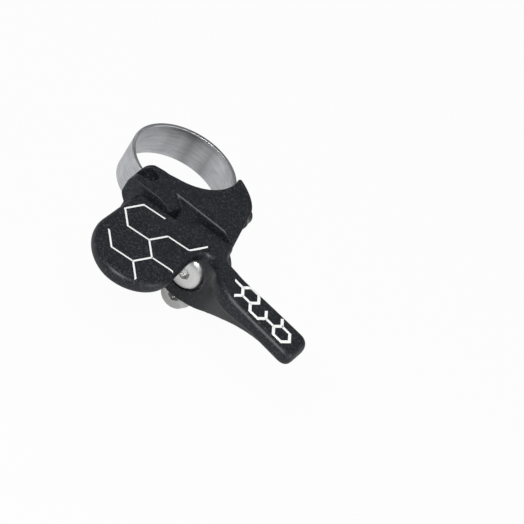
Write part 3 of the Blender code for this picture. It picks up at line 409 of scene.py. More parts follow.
@dataclass(frozen=True)
class PrintedWhite:
    """White pad print, thin enough to show a little of the coat's grain."""

    name: str = "white_print"
    ink: Color = (0.92, 0.92, 0.92)
    dimmed: Color = (0.68, 0.68, 0.68)

    def make(self) -> bpy.types.Material:
        """Build the material.

        Returns:
            The material.
        """
        recipe = Recipe(self.name)
        place = recipe.place()
        grain = recipe.noise(place, 3.4, 3.0, 0.6)
        colour = recipe.mix(recipe.span(grain, 0.5, 0.85, 0.0, 0.7), self.ink, self.dimmed)
        rough = recipe.span(grain, 0.3, 0.7, 0.45, 0.6)
        return recipe.complete(colour, rough, recipe.bump(grain, 0.02, 0.6), 0.0)


class Finishes:
    """Every material of the object, made once."""

    def __init__(self) -> None:
        """Build the materials that more than one piece uses."""
        self.coat = PowderCoat().make()
        self.band = BrushedBand().make()
        self.satin = DrawnSteel("satin_steel").make()
        self.dark = DrawnSteel("black_oxide", (0.045, 0.043, 0.042), (0.022, 0.021, 0.022), 0.38).make()
        self.white = PrintedWhite().make()


# Making shapes


def arc(centre: Point, radius: float, start: float, end: float, count: int) -> list[Point]:
    """Points on an arc.

    Args:
        centre: The arc's centre.
        radius: Its radius.
        start: The first point's angle, in degrees.
        end: The last point's angle, in degrees.
        count: How many points, both ends included.

    Returns:
        The points.
    """
    turns = [math.radians(start + (end - start) * step / (count - 1)) for step in range(count)]
    return [(centre[0] + radius * math.cos(turn), centre[1] + radius * math.sin(turn)) for turn in turns]


def curve(start: Point, first: Point, second: Point, end: Point, count: int) -> list[Point]:
    """Points on a cubic curve.

    Args:
        start: Where it starts.
        first: Its first handle.
        second: Its second handle.
        end: Where it ends.
        count: How many points, the start not counted.

    Returns:
        The points after the start, the end included.
    """
    corners = [Vector((x, y, 0.0)) for x, y in (start, first, second, end)]
    return [(point.x, point.y) for point in interpolate_bezier(*corners, count + 1)[1:]]


def smooth_share(value: float, low: float, high: float) -> float:
    """A soft step from 0 at low to 1 at high."""
    share = min(max((value - low) / (high - low), 0.0), 1.0)
    return share * share * (3.0 - 2.0 * share)


def as_mesh(bm: BMesh, name: str) -> bpy.types.Mesh:
    """Turn a bmesh into a mesh.

    Args:
        bm: The bmesh, which is freed.
        name: The mesh's name.

    Returns:
        The mesh.
    """
    mesh = bpy.data.meshes.new(name)
    bm.to_mesh(mesh)
    bm.free()
    return mesh


def link(name: str, data: bpy.types.ID) -> bpy.types.Object:
    """Put a new object into the scene.

    Args:
        name: The object's name.
        data: Its mesh, lamp or camera.

    Returns:
        The object.
    """
    made = bpy.data.objects.new(name, data)
    bpy.context.scene.collection.objects.link(made)
    return made


def modify(piece: bpy.types.Object, kind: str, **settings: object) -> None:
    """Add a modifier and set its properties."""
    configure(piece.modifiers.new(kind.lower(), kind), settings)


def slab(outline: Sequence[Point], low: float, high: float) -> BMesh:
    """Raise an outline in XY into a plate.

    Args:
        outline: The outline's points, in order.
        low: The plate's lower Z.
        high: Its upper Z.

    Returns:
        The plate.
    """
    bm = bmesh.new()
    ring = [bm.verts.new((x, y, low)) for x, y in outline]
    face = bm.faces.new(ring)
    grown = bmesh.ops.extrude_face_region(bm, geom=[face])["geom"]
    top = [item for item in grown if isinstance(item, BMVert)]
    bmesh.ops.translate(bm, verts=top, vec=(0.0, 0.0, high - low))
    bmesh.ops.recalc_face_normals(bm, faces=bm.faces)
    return bm


def wall(outline: Sequence[Point], low: float, high: float) -> BMesh:
    """Raise an outline in XZ along Y.

    Args:
        outline: The outline's points, in order.
        low: The solid's lower Y.
        high: Its higher Y.

    Returns:
        The solid.
    """
    bm = slab(outline, low, high)
    for vert in bm.verts:
        vert.co.yz = (vert.co.z, vert.co.y)
    return bm


def bevel(bm: BMesh, edges: list, offset: float, segments: int, clamped: bool) -> None:
    """Round some of a solid's edges."""
    bmesh.ops.bevel(bm, geom=edges, offset=offset, offset_type="OFFSET", segments=segments, profile=0.5,
                    affect="EDGES", clamp_overlap=clamped, material=-1)


def round_rims(bm: BMesh, offset: float, segments: int, heights: Sequence[float]) -> None:
    """Round the edges of a plate where its flat faces meet its wall.

    Args:
        bm: The plate.
        offset: The rounding's width.
        segments: How many faces the rounding has across.
        heights: The Z of each rim to round.
    """
    rims = [edge for edge in bm.edges
            if any(all(abs(vert.co.z - z) < 1e-4 for vert in edge.verts) for z in heights)]
    bevel(bm, rims, offset, segments, False)


def round_corners(bm: BMesh, offset: float, segments: int) -> None:
    """Round the upright corners of a plate by bevelling its wall's upright edges."""
    upright = [edge for edge in bm.edges
               if (edge.verts[0].co - edge.verts[1].co).normalized().to_tuple(3)[:2] == (0.0, 0.0)]
    bevel(bm, upright, offset, segments, True)


def trim(bm: BMesh, point: Sequence[float], normal: Sequence[float]) -> None:
    """Take away what lies on the normal's side of a plane, and close the cut.

    Args:
        bm: The solid.
        point: A point of the plane.
        normal: The plane's normal, towards what goes.
    """
    geometry = bm.verts[:] + bm.edges[:] + bm.faces[:]
    cut = bmesh.ops.bisect_plane(bm, geom=geometry, dist=1e-6, plane_co=point, plane_no=normal,
                                 clear_outer=True)
    rim = [item for item in cut["geom_cut"] if isinstance(item, bmesh.types.BMEdge)]
    bmesh.ops.contextual_create(bm, geom=rim)


def bar(radius: float, start: Sequence[float], end: Sequence[float], sides: int = 64) -> BMesh:
    """A round bar, or a prism with few sides, between two points.

    Args:
        radius: The radius, or the corners' distance from the axis.
        start: The middle of one end.
        end: The middle of the other.
        sides: How many sides.

    Returns:
        The bar.
    """
    first, last = Vector(start), Vector(end)
    turn = Vector((0.0, 0.0, 1.0)).rotation_difference(last - first).to_matrix().to_4x4()
    bm = bmesh.new()
    bmesh.ops.create_cone(bm, cap_ends=True, segments=sides, radius1=radius, radius2=radius,
                          depth=(last - first).length, matrix=Matrix.Translation((first + last) / 2) @ turn)
    return bm


def block(low: Sequence[float], high: Sequence[float]) -> BMesh:
    """A box.

    Args:
        low: Its lowest corner.
        high: Its highest corner.

    Returns:
        The box.
    """
    first, last = Vector(low), Vector(high)
    bm = bmesh.new()
    bmesh.ops.create_cube(bm, size=1.0)
    bmesh.ops.scale(bm, vec=last - first, verts=bm.verts)
    bmesh.ops.translate(bm, vec=(first + last) / 2, verts=bm.verts)
    return bm


def lathe(profile: Sequence[Point], axis: Point) -> BMesh:
    """Spin a profile about an axis parallel to Y.

    Args:
        profile: (radius, y) points. The profile is a closed loop unless both ends are on the axis.
        axis: The axis's X and Z.

    Returns:
        The turned solid.
    """
    x, z = axis
    bm = bmesh.new()
    points = [bm.verts.new((x + radius, y, z)) for radius, y in profile]
    edges = [bm.edges.new(pair) for pair in zip(points, points[1:])]
    if profile[0][0] > 0.0 and profile[-1][0] > 0.0:
        edges.append(bm.edges.new((points[-1], points[0])))
    bmesh.ops.spin(bm, geom=points + edges, cent=(x, 0.0, z), axis=(0.0, 1.0, 0.0), angle=math.tau,
                   steps=LATHE_STEPS, use_merge=True)
    bmesh.ops.remove_doubles(bm, verts=bm.verts, dist=1e-4)
    bmesh.ops.recalc_face_normals(bm, faces=bm.faces)
    return bm


def bore(radius: float, axis: Point, start: float, end: float, sides: int = 64) -> BMesh:
    """A bar at an X and Z, between two values of Y."""
    return bar(radius, (axis[0], start, axis[1]), (axis[0], end, axis[1]), sides)


def hex_key(axis: Point, start: float, end: float, across: float) -> BMesh:
    """The cutter of a hexagon socket at an X and Z, between two values of Y."""
    return bore(across / math.sqrt(3.0), axis, start, end, 6)


def flat_ring(axis: Point, radii: Range, low: float, thickness: float) -> BMesh:
    """A washer around an X and Z, from its lower Y up."""
    (inner, outer), high = radii, low + thickness
    return lathe([(inner, low), (outer, low), (outer, high), (inner, high)], axis)


class Form:
    """A solid under construction, in millimetres."""

    def __init__(self, source: BMesh) -> None:
        """Take over a bmesh.

        Args:
            source: The bmesh, which is freed.
        """
        bmesh.ops.remove_doubles(source, verts=source.verts, dist=1e-5)
        bmesh.ops.recalc_face_normals(source, faces=source.faces)
        self.holder = link("form", as_mesh(source, "form"))

    def settle(self) -> "Form":
        """Turn the live modifiers into the mesh itself.

        Returns:
            The form.
        """
        graph = bpy.context.evaluated_depsgraph_get()
        made = bpy.data.meshes.new_from_object(self.holder.evaluated_get(graph))
        old = self.holder.data
        self.holder.modifiers.clear()
        self.holder.data = made
        bpy.data.meshes.remove(old)
        return self

    def combine(self, other: BMesh, operation: str) -> "Form":
        """Apply a Boolean with another solid.

        Args:
            other: The other solid, which is freed.
            operation: UNION, DIFFERENCE or INTERSECT.

        Returns:
            The form.
        """
        tool = Form(other)
        modify(self.holder, "BOOLEAN", operation=operation, solver="EXACT", object=tool.holder)
        self.settle()
        tool.discard()
        return self

    def join(self, other: BMesh) -> "Form":
        """Join another solid to the form."""
        return self.combine(other, "UNION")

    def cut(self, other: BMesh) -> "Form":
        """Cut another solid out of the form."""
        return self.combine(other, "DIFFERENCE")

    def recast(self, voxel: float, rounds: int) -> "Form":
        """Cast the form anew as one even skin, with its edges and joints softened.

        Args:
            voxel: The size of the new faces.
            rounds: How often the skin is smoothed.

        Returns:
            The form.
        """
        modify(self.holder, "REMESH", mode="VOXEL", voxel_size=voxel, adaptivity=0.0)
        modify(self.holder, "SMOOTH", factor=0.5, iterations=rounds)
        return self.settle()

    def ease(self, width: float, segments: int = 2) -> "Form":
        """Bevel every edge sharper than a limit.

        Args:
            width: The bevel's width.
            segments: How many faces it has across.

        Returns:
            The form.
        """
        modify(self.holder, "BEVEL", width=width, segments=segments, limit_method="ANGLE",
               angle_limit=SHARP_ANGLE, harden_normals=False)
        return self.settle()

    def discard(self) -> None:
        """Delete the form's object and mesh."""
        mesh = self.holder.data
        bpy.data.objects.remove(self.holder)
        bpy.data.meshes.remove(mesh)

    def release(self) -> BMesh:
        """Give the form back as a bmesh, and discard it.

        Returns:
            The bmesh.
        """
        made = bmesh.new()
        made.from_mesh(self.holder.data)
        self.discard()
        return made

    def deliver(self, name: str, finish: bpy.types.Material, body: Body, slot: Slot,
                nodes: Sequence[str], shading: Shading = Shading.TURNED) -> bpy.types.Object:
        """Turn the form into a finished piece of the object.

        Args:
            name: The piece's name.
            finish: Its material.
            body: The body that it rides on.
            slot: Not used.
            nodes: The CAD nodes that it stands for.
            shading: How its faces are shaded.

        Returns:
            The piece.
        """
        piece = self.holder
        piece.name = name
        piece.data.name = name
        piece.data.transform(Matrix.Scale(METRES, 4))
        piece.data.shade_smooth()
        if shading is Shading.TURNED:
            piece.data.set_sharp_from_angle(angle=SHARP_ANGLE)
        piece.data.materials.clear()
        piece.data.materials.append(finish)
        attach(piece, body.value)
        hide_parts(*nodes)
        LOG.info("%s: %d faces", name, len(piece.data.polygons))
        return piece


def dress(node: str, finish: bpy.types.Material) -> None:
    """Give a CAD node that stays in view its finish.

    Args:
        node: The node's name.
        finish: The material for its slots.
    """
    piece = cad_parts[node]
    if not piece.data.materials:
        piece.data.materials.append(finish)
    for entry in piece.material_slots:
        entry.material = finish
    LOG.info("%s: CAD node, %s", node, finish.name)


# Sub-assemblies


@dataclass
class Clamp:
    """The band around the handlebar, and what holds and draws it."""

    finishes: Finishes
    bar_radius: float = 11.1
    thickness: float = 0.8
    width: float = 8.1
    horn_angle: float = 10.7
    bend_radius: float = 1.2
    tab_end_x: float = 16.9
    eye: Point = (1.9, -13.5)
    pin_radius: float = 0.8
    pin_length: float = 11.0
    bolt_x: float = 14.9
    shank_radius: float = 1.5
    head_radius: float = 2.4
    head_height: float = 2.0
    chamfer: float = 0.3
    socket_across: float = 2.5
    socket_depth: float = 1.2
    washer_radius: float = 2.6
    washer_thickness: float = 0.5
    bolt_length: float = 11.4
    nut_radius: float = 2.8
    nut_length: float = 9.0
    nut_y: float = -6.4

    @property
    def middle(self) -> float:
        """The radius to the middle of the band."""
        return self.bar_radius + self.thickness / 2

    @property
    def tab_y(self) -> float:
        """The height of the middle of the tab."""
        bend = self.middle + self.bend_radius
        return bend * math.sin(math.radians(self.horn_angle)) - self.bend_radius

    @property
    def head_y(self) -> float:
        """The underside of the bolt's head."""
        return self.tab_y + self.thickness / 2 + GAP + self.washer_thickness + GAP

    def route(self) -> list[Point]:
        """The middle line of the band, from its eye around the bar to its tab.

        Returns:
            The line's points.
        """
        eye_middle = self.pin_radius + GAP + self.thickness / 2
        toward = math.degrees(math.atan2(self.eye[1], self.eye[0])) % 360.0
        reach = math.hypot(*self.eye)
        leave = toward - math.degrees(math.acos((self.middle + eye_middle) / reach))
        points = arc(self.eye, eye_middle, leave - 450.0, leave - 180.0, 32)
        points += arc((0.0, 0.0), self.middle, leave, self.horn_angle, 150)
        horn = math.radians(self.horn_angle)
        bend = self.middle + self.bend_radius
        centre = (bend * math.cos(horn), bend * math.sin(horn))
        points += arc(centre, self.bend_radius, 180.0 + self.horn_angle, 270.0, 12)[1:]
        points.append((self.tab_end_x, self.tab_y))
        return points

    def make_band(self) -> None:
        """Draw the band as a wall along its route, give it its thickness and ease its edges."""
        bm = bmesh.new()
        half = self.width / 2
        points = [bm.verts.new((x, y, -half)) for x, y in self.route()]
        edges = [bm.edges.new(pair) for pair in zip(points, points[1:])]
        grown = bmesh.ops.extrude_edge_only(bm, edges=edges)["geom"]
        bmesh.ops.translate(bm, verts=[item for item in grown if isinstance(item, BMVert)],
                            vec=(0.0, 0.0, self.width))
        band = Form(bm)
        modify(band.holder, "SOLIDIFY", thickness=self.thickness, offset=0.0, use_even_offset=True)
        hole = bore(self.shank_radius + GAP, (self.bolt_x, 0.0), self.tab_y - 2.0, self.tab_y + 2.0)
        band.settle().cut(hole).ease(0.14, 3)
        band.deliver("band_strap", self.finishes.band, Body.BRACKET, Slot.BAND, ("clamp_band",))

    def make_bolt(self) -> None:
        """Turn the clamp bolt and its washer, and cut the bolt's socket."""
        top = self.head_y + self.head_height
        tip = self.head_y - self.bolt_length
        axis = (self.bolt_x, 0.0)
        edge = self.chamfer
        profile = [(0.0, top), (self.head_radius - edge, top), (self.head_radius, top - edge),
                   (self.head_radius, self.head_y), (self.shank_radius, self.head_y),
                   (self.shank_radius, tip + edge), (self.shank_radius - edge, tip), (0.0, tip)]
        socket = hex_key(axis, top - self.socket_depth, top + CUT_MARGIN, self.socket_across)
        finish = TurnedSteel("clamp_bolt_oxide", axis, (0.05, 0.048, 0.046), (0.024, 0.023, 0.024),
                             0.34).make()
        bolt = Form(lathe(profile, axis)).cut(socket).ease(0.08)
        bolt.deliver("clamp_screw", finish, Body.BRACKET, Slot.DARK, ("clamp_bolt",))

        finish = TurnedSteel("clamp_washer_metal", axis, (0.30, 0.30, 0.30), (0.20, 0.20, 0.20), 0.3).make()
        washer = Form(flat_ring(axis, (self.shank_radius + GAP, self.washer_radius),
                                self.tab_y + self.thickness / 2 + GAP, self.washer_thickness)).ease(0.1)
        washer.deliver("clamp_bolt_washer", finish, Body.BRACKET, Slot.SATIN, ("clamp_washer",))

    def make_nut(self) -> None:
        """Make the barrel nut and the pin of the band's eye."""
        half = self.nut_length / 2
        nut = Form(bar(self.nut_radius, (self.bolt_x, self.nut_y, -half), (self.bolt_x, self.nut_y, half)))
        nut.cut(bore(self.shank_radius + GAP, (self.bolt_x, 0.0), self.nut_y - 2 * self.nut_radius,
                     self.nut_y + 2 * self.nut_radius))
        nut.ease(0.2).deliver("barrel_nut", self.finishes.satin, Body.BRACKET, Slot.SATIN,
                              ("clamp_barrel_nut",))
        half = self.pin_length / 2
        pin = Form(bar(self.pin_radius, (*self.eye, -half), (*self.eye, half), 40)).ease(0.15)
        pin.deliver("hook_pin", self.finishes.dark, Body.BRACKET, Slot.DARK, ("band_hook_pin",))

    def build(self) -> None:
        """Make every piece of the clamp."""
        self.make_band()
        self.make_bolt()
        self.make_nut()


@dataclass
class Bracket:
    """The black block: cradle, heel, cable housing seat and pivot boss."""

    finishes: Finishes
    clamp: Clamp
    half: float = 8.4
    rounding: float = 0.6
    bottom_y: float = -15.5
    cradle: Range = (11.5, -75.0)
    side_top: Point = (18.4, -5.6)
    side_bottom_x: float = 20.8
    facet_x: float = 17.5
    facet_drop: float = 1.9
    heel_bottom_y: float = -17.3
    heel_x: Range = (-3.8, 3.4)
    seat_x: tuple[float, float, float] = (-4.4, 6.6, 7.6)
    seat_y: Range = (-20.4, -12.5)
    seat_back_z: float = -2.5
    seat_proud: float = 0.02
    ramp_x: float = 3.0
    ramp_radius: float = 5.6
    seat_crest: Point = (0.4, -11.6)
    shoulder: float = 2.2
    undercut_z: float = 3.65
    housing_radius: float = 2.15
    housing_tilt: float = 58.0
    wire_tilt: float = 42.0
    wire_slope: float = 0.07
    housing: Point = (-2.6, -15.8)
    housing_depth: float = 4.0
    wire_radius: float = 0.9
    pivot: Point = (16.6, 0.0)
    thread_radius: float = 2.0
    thread_depth: float = 4.9
    spring_radius: float = 3.7
    spring_hole: Range = (0.6, 1.9)
    boss_radius: float = 4.9
    ear_pocket: tuple[float, float, float] = (12.0, -13.3, -1.4)
    voxel: float = 0.17
    rounds: int = 5

    def outline(self) -> list[Point]:
        """The block's outline in XY: side, horn, cradle, heel and bottom.

        Returns:
            The outline's points.
        """
        radius = self.clamp.bar_radius
        cradle = arc((0.0, 0.0), radius, *self.cradle, 60)
        horn = Vector(cradle[0])
        leave = Vector(cradle[-1])
        end = math.radians(self.cradle[1])
        along = Vector((math.sin(end), -math.cos(end)))
        heel_top = (self.heel_x[0], self.seat_y[1] - 2.4)
        points = [(self.side_bottom_x, self.bottom_y), self.side_top]
        points += curve(self.side_top, (self.side_top[0] - 0.3, -2.4), (horn.x + 4.4, horn.y - 1.7),
                        (horn.x + 0.7, horn.y + 0.25), 20)
        points += cradle
        points += curve(tuple(leave), tuple(leave + along * 3.0),
                        (self.heel_x[0] + 1.4, self.seat_y[1] - 0.3), heel_top, 16)
        left, low = self.heel_x[0], self.heel_bottom_y
        points += curve(heel_top, (left, low + 1.2), (left + 0.4, low), (left + 1.8, low), 8)
        points += [(self.heel_x[1] - 1.2, self.heel_bottom_y), (self.heel_x[1], self.bottom_y)]
        return points

    def axis(self, depth: float) -> Vector:
        """A point on the cable housing's axis, at a depth below the block's flat face."""
        tilt = math.radians(self.housing_tilt)
        return Vector((self.housing[0] + depth * math.cos(tilt), self.housing[1],
                       self.half - depth * math.sin(tilt)))

    def wire_axis(self, reach: float) -> Vector:
        """A point on the wire's axis.

        Args:
            reach: Its distance past the end of the housing.

        Returns:
            The point.
        """
        tilt = math.radians(self.wire_tilt)
        along = Vector((math.cos(tilt), -self.wire_slope * math.cos(tilt), -math.sin(tilt)))
        return self.axis(self.housing_depth - CUT_MARGIN) + reach * along

    def seat(self) -> BMesh:
        """The cable housing seat: its plan, kept where its side profile is filled.

        Returns:
            The seat.
        """
        left, low_right, right = self.seat_x
        low, high = self.seat_y
        top = self.half + self.seat_proud
        corners = [(left, high - 1.2), (left, low), (low_right, low), (right, self.bottom_y + CUT_MARGIN),
                   self.seat_crest, (left + 1.2, high)]
        plan = slab(corners, self.seat_back_z, top + CUT_MARGIN)
        round_corners(plan, 0.8, 6)
        foot = self.seat_back_z - CUT_MARGIN
        profile = [(left - CUT_MARGIN, self.undercut_z + CUT_MARGIN),
                   (left + self.undercut_z - foot, foot), (right + CUT_MARGIN, foot)]
        end = math.degrees(math.acos((right + CUT_MARGIN - self.ramp_x) / self.ramp_radius))
        profile += arc((self.ramp_x, top - self.ramp_radius), self.ramp_radius, end, 90.0, 16)
        profile.append((left - CUT_MARGIN, top))
        filled = wall(profile, low - CUT_MARGIN, high + CUT_MARGIN)
        return Form(plan).combine(filled, "INTERSECT").release()

    def cutters(self) -> list[BMesh]:
        """The solids of every hole, slot and pocket.

        Returns:
            The solids.
        """
        clamp = self.clamp
        slot_half = clamp.width / 2 + GAP
        eye_x, eye_y = clamp.eye
        reach = clamp.pin_radius + 2 * GAP + clamp.thickness
        throat = [(eye_x - 7.4, eye_y + 2.6), (eye_x - reach + GAP, eye_y + 0.9), (eye_x - reach, eye_y)]
        throat += arc(clamp.eye, reach, 195.0, 360.0, 24)
        throat += [(eye_x + reach, -clamp.bar_radius + 1.6), (eye_x - 7.4, -clamp.bar_radius + 2.6)]
        x, z = self.pivot
        bottom = self.bottom_y
        past = self.half + CUT_MARGIN
        nut_reach = clamp.nut_length / 2 + GAP
        inner, back, top = self.ear_pocket
        outside = self.side_bottom_x + CUT_MARGIN
        room = Form(block((inner, bottom - CUT_MARGIN, -past), (outside, back, top)))
        room.cut(bore(self.boss_radius, self.pivot, bottom - 2.0, back + 2.0))
        hole, depth = self.spring_hole
        left = self.seat_x[0]
        shoulder = arc((left + self.shoulder, self.half - self.shoulder), self.shoulder, 90.0, 180.0, 16)
        shoulder += [(left - CUT_MARGIN, shoulder[-1][1]), (left - CUT_MARGIN, past), (shoulder[0][0], past)]
        return [
            wall(shoulder, self.seat_y[0] - CUT_MARGIN, self.seat_y[1] + CUT_MARGIN),
            bar(self.housing_radius, self.axis(-6.0), self.axis(self.housing_depth)),
            bar(self.wire_radius, self.wire_axis(0.0), self.wire_axis(20.0), 32),
            slab(throat, -slot_half, slot_half),
            block((clamp.bar_radius - 2.0, -0.9, -slot_half), (outside, 6.0, slot_half)),
            bar(clamp.pin_radius + GAP, (eye_x, eye_y, -past),
                (eye_x, eye_y, clamp.pin_length / 2 + GAP), 30),
            bar(clamp.nut_radius + GAP, (clamp.bolt_x, clamp.nut_y, -past),
                (clamp.bolt_x, clamp.nut_y, nut_reach)),
            bore(clamp.shank_radius + GAP, (clamp.bolt_x, 0.0), clamp.head_y,
                 clamp.head_y - clamp.bolt_length - GAP),
            bore(self.thread_radius, self.pivot, bottom - CUT_MARGIN, bottom + self.thread_depth),
            bore(hole, (x, z + self.spring_radius), bottom - CUT_MARGIN, bottom + depth, 24),
            room.release(),
        ]

    def build(self) -> None:
        """Join the block and the seat, cut every hole, and cast the result with soft edges."""
        body = slab(self.outline(), -self.half, self.half)
        round_rims(body, self.rounding, 3, (-self.half, self.half))
        slope = Vector((self.facet_drop, 0.0, self.side_bottom_x - self.facet_x)).normalized()
        for side in (1.0, -1.0):
            trim(body, (self.facet_x, 0.0, self.half * side), (slope.x, 0.0, slope.z * side))
        form = Form(body).join(self.seat())
        for cutter in self.cutters():
            form.cut(cutter)
        form.recast(self.voxel, self.rounds)
        form.deliver("bracket_body", self.finishes.coat, Body.BRACKET, Slot.COAT, ("bracket",), Shading.CAST)


@dataclass
class Lever:
    """The one-piece lever: paddle, hub, gusset and arm."""

    finishes: Finishes
    pivot: Point = (16.6, 0.0)
    hub_radius: float = 7.0
    hub_y: Range = (-23.4, -16.1)
    plate_z: Range = (4.2, 7.4)
    rounding: float = 1.3
    crest: Point = (26.0, 1.6)
    rise_reach: float = 1.0
    slice_width: float = 0.8
    tip_x: float = 46.2
    tip_drop: Range = (1.3, 1.6)
    arm_y: Range = (-32.5, -23.5)
    arm_corner: float = 2.2
    paddle_x: Range = (-0.9, 17.2)
    paddle_y: Range = (-47.6, -20.9)
    paddle_flare: float = 0.55
    paddle_end_x: float = 8.6
    paddle_corner: float = 1.9
    bearing_y: Range = (-21.7, -18.3)
    bore_radius: float = 4.8
    head_radius: float = 4.4
    anchor: Point = (16.3, -9.5)
    anchor_head_y: float = -19.4
    anchor_clearance: float = 4.0
    anchor_bore: float = 2.0
    ear_y: Range = (-16.8, -13.6)
    ear_radius: float = 3.9
    ear_root_z: float = -4.0
    boss_clearance: float = 5.2
    spring_notch: tuple[float, float, float] = (6.3, -17.83, 3.7)
    voxel: float = 0.22
    rounds: int = 24
    sections: list[tuple[float, Point, Point, Point, Point]] = field(default_factory=lambda: [
        (1.0, (-20.0, -6.95), (-23.4, -6.95), (-23.4, 6.4), (-17.1, 6.4)),
        (4.6, (-20.0, -6.4), (-23.4, -6.4), (-25.2, 6.4), (-19.4, 6.4)),
        (7.8, (-20.4, -5.0), (-23.7, -5.0), (-29.4, 6.9), (-24.3, 6.9)),
        (11.9, (-22.4, -1.8), (-27.6, -0.9), (-31.95, 7.3), (-24.5, 7.3)),
        (15.9, (-23.6, 1.3), (-30.0, 1.9), (-32.25, 6.8), (-24.5, 6.8)),
        (19.9, (-24.5, 3.1), (-30.9, 3.1), (-32.25, 6.2), (-24.5, 6.2)),
        (24.0, (-24.5, 3.3), (-31.1, 3.3), (-31.6, 5.2), (-24.5, 5.2)),
        (27.6, (-24.8, 3.5), (-31.0, 3.5), (-31.2, 4.6), (-24.8, 4.6)),
    ])

    def outline(self) -> list[Point]:
        """The plate's outline in XY: paddle, notch over the bolt, arm and back edge.

        Returns:
            The outline's points.
        """
        left, right = self.paddle_x
        tip, back = self.paddle_y
        x = self.pivot[0]
        front, behind = self.arm_y
        face, hub_back = self.hub_y
        end_left, end_right = left - self.paddle_flare, right + self.paddle_flare
        points = [(left, back - self.paddle_corner), (end_left, tip + 11.9)]
        low = (self.paddle_end_x, tip)
        side = (end_right, tip + 9.9)
        points += curve(points[-1], (end_left, tip + 5.8), (low[0] - 4.9, tip), low, 24)
        points += curve(low, (low[0] + 5.2, tip), (end_right, tip + 4.5), side, 22)
        start = (right, face - 5.0)
        top = (x + 2.8, face - 0.5)
        end = (x + 9.9, front + 1.1)
        arm = (x + 15.4, front)
        points.append(start)
        points += curve(start, (right, top[1] - 1.2), (top[0] - 1.6, top[1]), top, 14)
        points += curve(top, (top[0] + 2.8, top[1]), (end[0] - 3.9, end[1] + 2.0), end, 18)
        points += curve(end, (end[0] + 2.0, end[1] - 1.0), (arm[0] - 2.4, front), arm, 10)
        corner = self.arm_corner
        points += arc((self.tip_x - corner, front + corner), corner, -90.0, 0.0, 10)
        points += arc((self.tip_x - corner, behind - corner), corner, 0.0, 90.0, 10)
        neck_end = (x + 12.0, behind - 0.5)
        neck = (x + 4.9, hub_back - 2.0)
        points.append(neck_end)
        points += curve(neck_end, (neck_end[0] - 4.4, neck_end[1]), (neck[0] + 0.8, neck[1] - 4.0), neck, 16)
        shoulder = (neck[0] - 0.2, hub_back)
        points += curve(neck, shoulder, shoulder, (neck[0] - 1.8, hub_back), 6)
        first = (x - 3.9, hub_back)
        web = (5.6, back)
        points.append(first)
        points += curve(first, (first[0] - 1.0, hub_back), (web[0] + 5.2, back), web, 16)
        corner_start = (left + self.paddle_corner, back)
        points.append(corner_start)
        points += curve(corner_start, (left + 0.8, back), (left, back - 0.8), points[0], 8)[:-1]
        return points

    def rise(self, x: float, drop: float) -> float:
        """How far the arm's surface lies above the paddle's.

        Args:
            x: The place along the lever.
            drop: How far the surface falls below the paddle's at the arm's tip.

        Returns:
            The rise.
        """
        crest_x, height = self.crest
        fall = max(x - crest_x, 0.0) / (self.tip_x - crest_x)
        start = self.pivot[0] + self.rise_reach
        return height * smooth_share(x, start, crest_x) - (height + drop) * fall

    def plate(self) -> BMesh:
        """The lever's one continuous top, bent up over the hub and down to the arm's tip.

        Returns:
            The plate.
        """
        low, high = self.plate_z
        bm = slab(self.outline(), low, high)
        round_rims(bm, self.rounding, 6, self.plate_z)
        x = self.pivot[0] + self.rise_reach
        while x < self.tip_x:
            bmesh.ops.bisect_plane(bm, geom=bm.verts[:] + bm.edges[:] + bm.faces[:], dist=1e-5,
                                   plane_co=(x, 0.0, 0.0), plane_no=(1.0, 0.0, 0.0))
            x += self.slice_width
        for vert in bm.verts:
            share = (vert.co.z - low) / (high - low)
            under = min(self.rise(vert.co.x, self.tip_drop[1]), 0.0)
            vert.co.z += share * self.rise(vert.co.x, self.tip_drop[0]) + (1.0 - share) * under
        return bm

    def gusset(self) -> BMesh:
        """The web that blends the hub's flange into the arm, bridged through its sections.

        Returns:
            The web.
        """
        bm = bmesh.new()
        table = self.sections
        steps = 4
        loops = []
        for index in range(len(table) - 1):
            rows = [table[min(max(index + shift, 0), len(table) - 1)] for shift in (-1, 0, 1, 2)]
            last = steps + (1 if index == len(table) - 2 else 0)
            for step in range(last):
                loops.append(self.section(bm, rows, step / steps))
        for first, second in zip(loops, loops[1:]):
            bmesh.ops.bridge_loops(bm, edges=first + second)
        bmesh.ops.contextual_create(bm, geom=loops[0])
        bmesh.ops.contextual_create(bm, geom=loops[-1])
        bmesh.ops.recalc_face_normals(bm, faces=bm.faces)
        return bm

    def section(self, bm: BMesh, rows: Sequence, share: float) -> list[bmesh.types.BMEdge]:
        """One cross-section of the gusset, on a smooth curve through its table.

        Args:
            bm: The mesh that it goes into.
            rows: The four rows of the table around it.
            share: How far it lies between the second row and the third.

        Returns:
            Its edges.
        """
        weights = (-0.5 * share + share * share - 0.5 * share ** 3,
                   1.0 - 2.5 * share * share + 1.5 * share ** 3,
                   0.5 * share + 2.0 * share * share - 1.5 * share ** 3,
                   -0.5 * share * share + 0.5 * share ** 3)
        x = self.pivot[0] + rows[1][0] + (rows[2][0] - rows[1][0]) * share
        verts = []
        for corner in range(1, 5):
            y, z = [sum(weight * row[corner][part] for weight, row in zip(weights, rows)) for part in (0, 1)]
            verts.append(bm.verts.new((x, y, z)))
        return [bm.edges.new((verts[corner - 1], verts[corner])) for corner in range(4)]

    def ear(self) -> BMesh:
        """The ear below the hub that carries the cable anchor, clear of the bracket's boss.

        Returns:
            The ear.
        """
        x, z = self.anchor
        points = arc((x, z), self.ear_radius, 180.0, 360.0, 36)
        points += [(x + self.ear_radius, self.ear_root_z), (x - self.ear_radius, self.ear_root_z)]
        boss = bore(self.boss_clearance, self.pivot, self.hub_y[1], self.ear_y[1] + CUT_MARGIN)
        return Form(wall(points, *self.ear_y)).cut(boss).release()

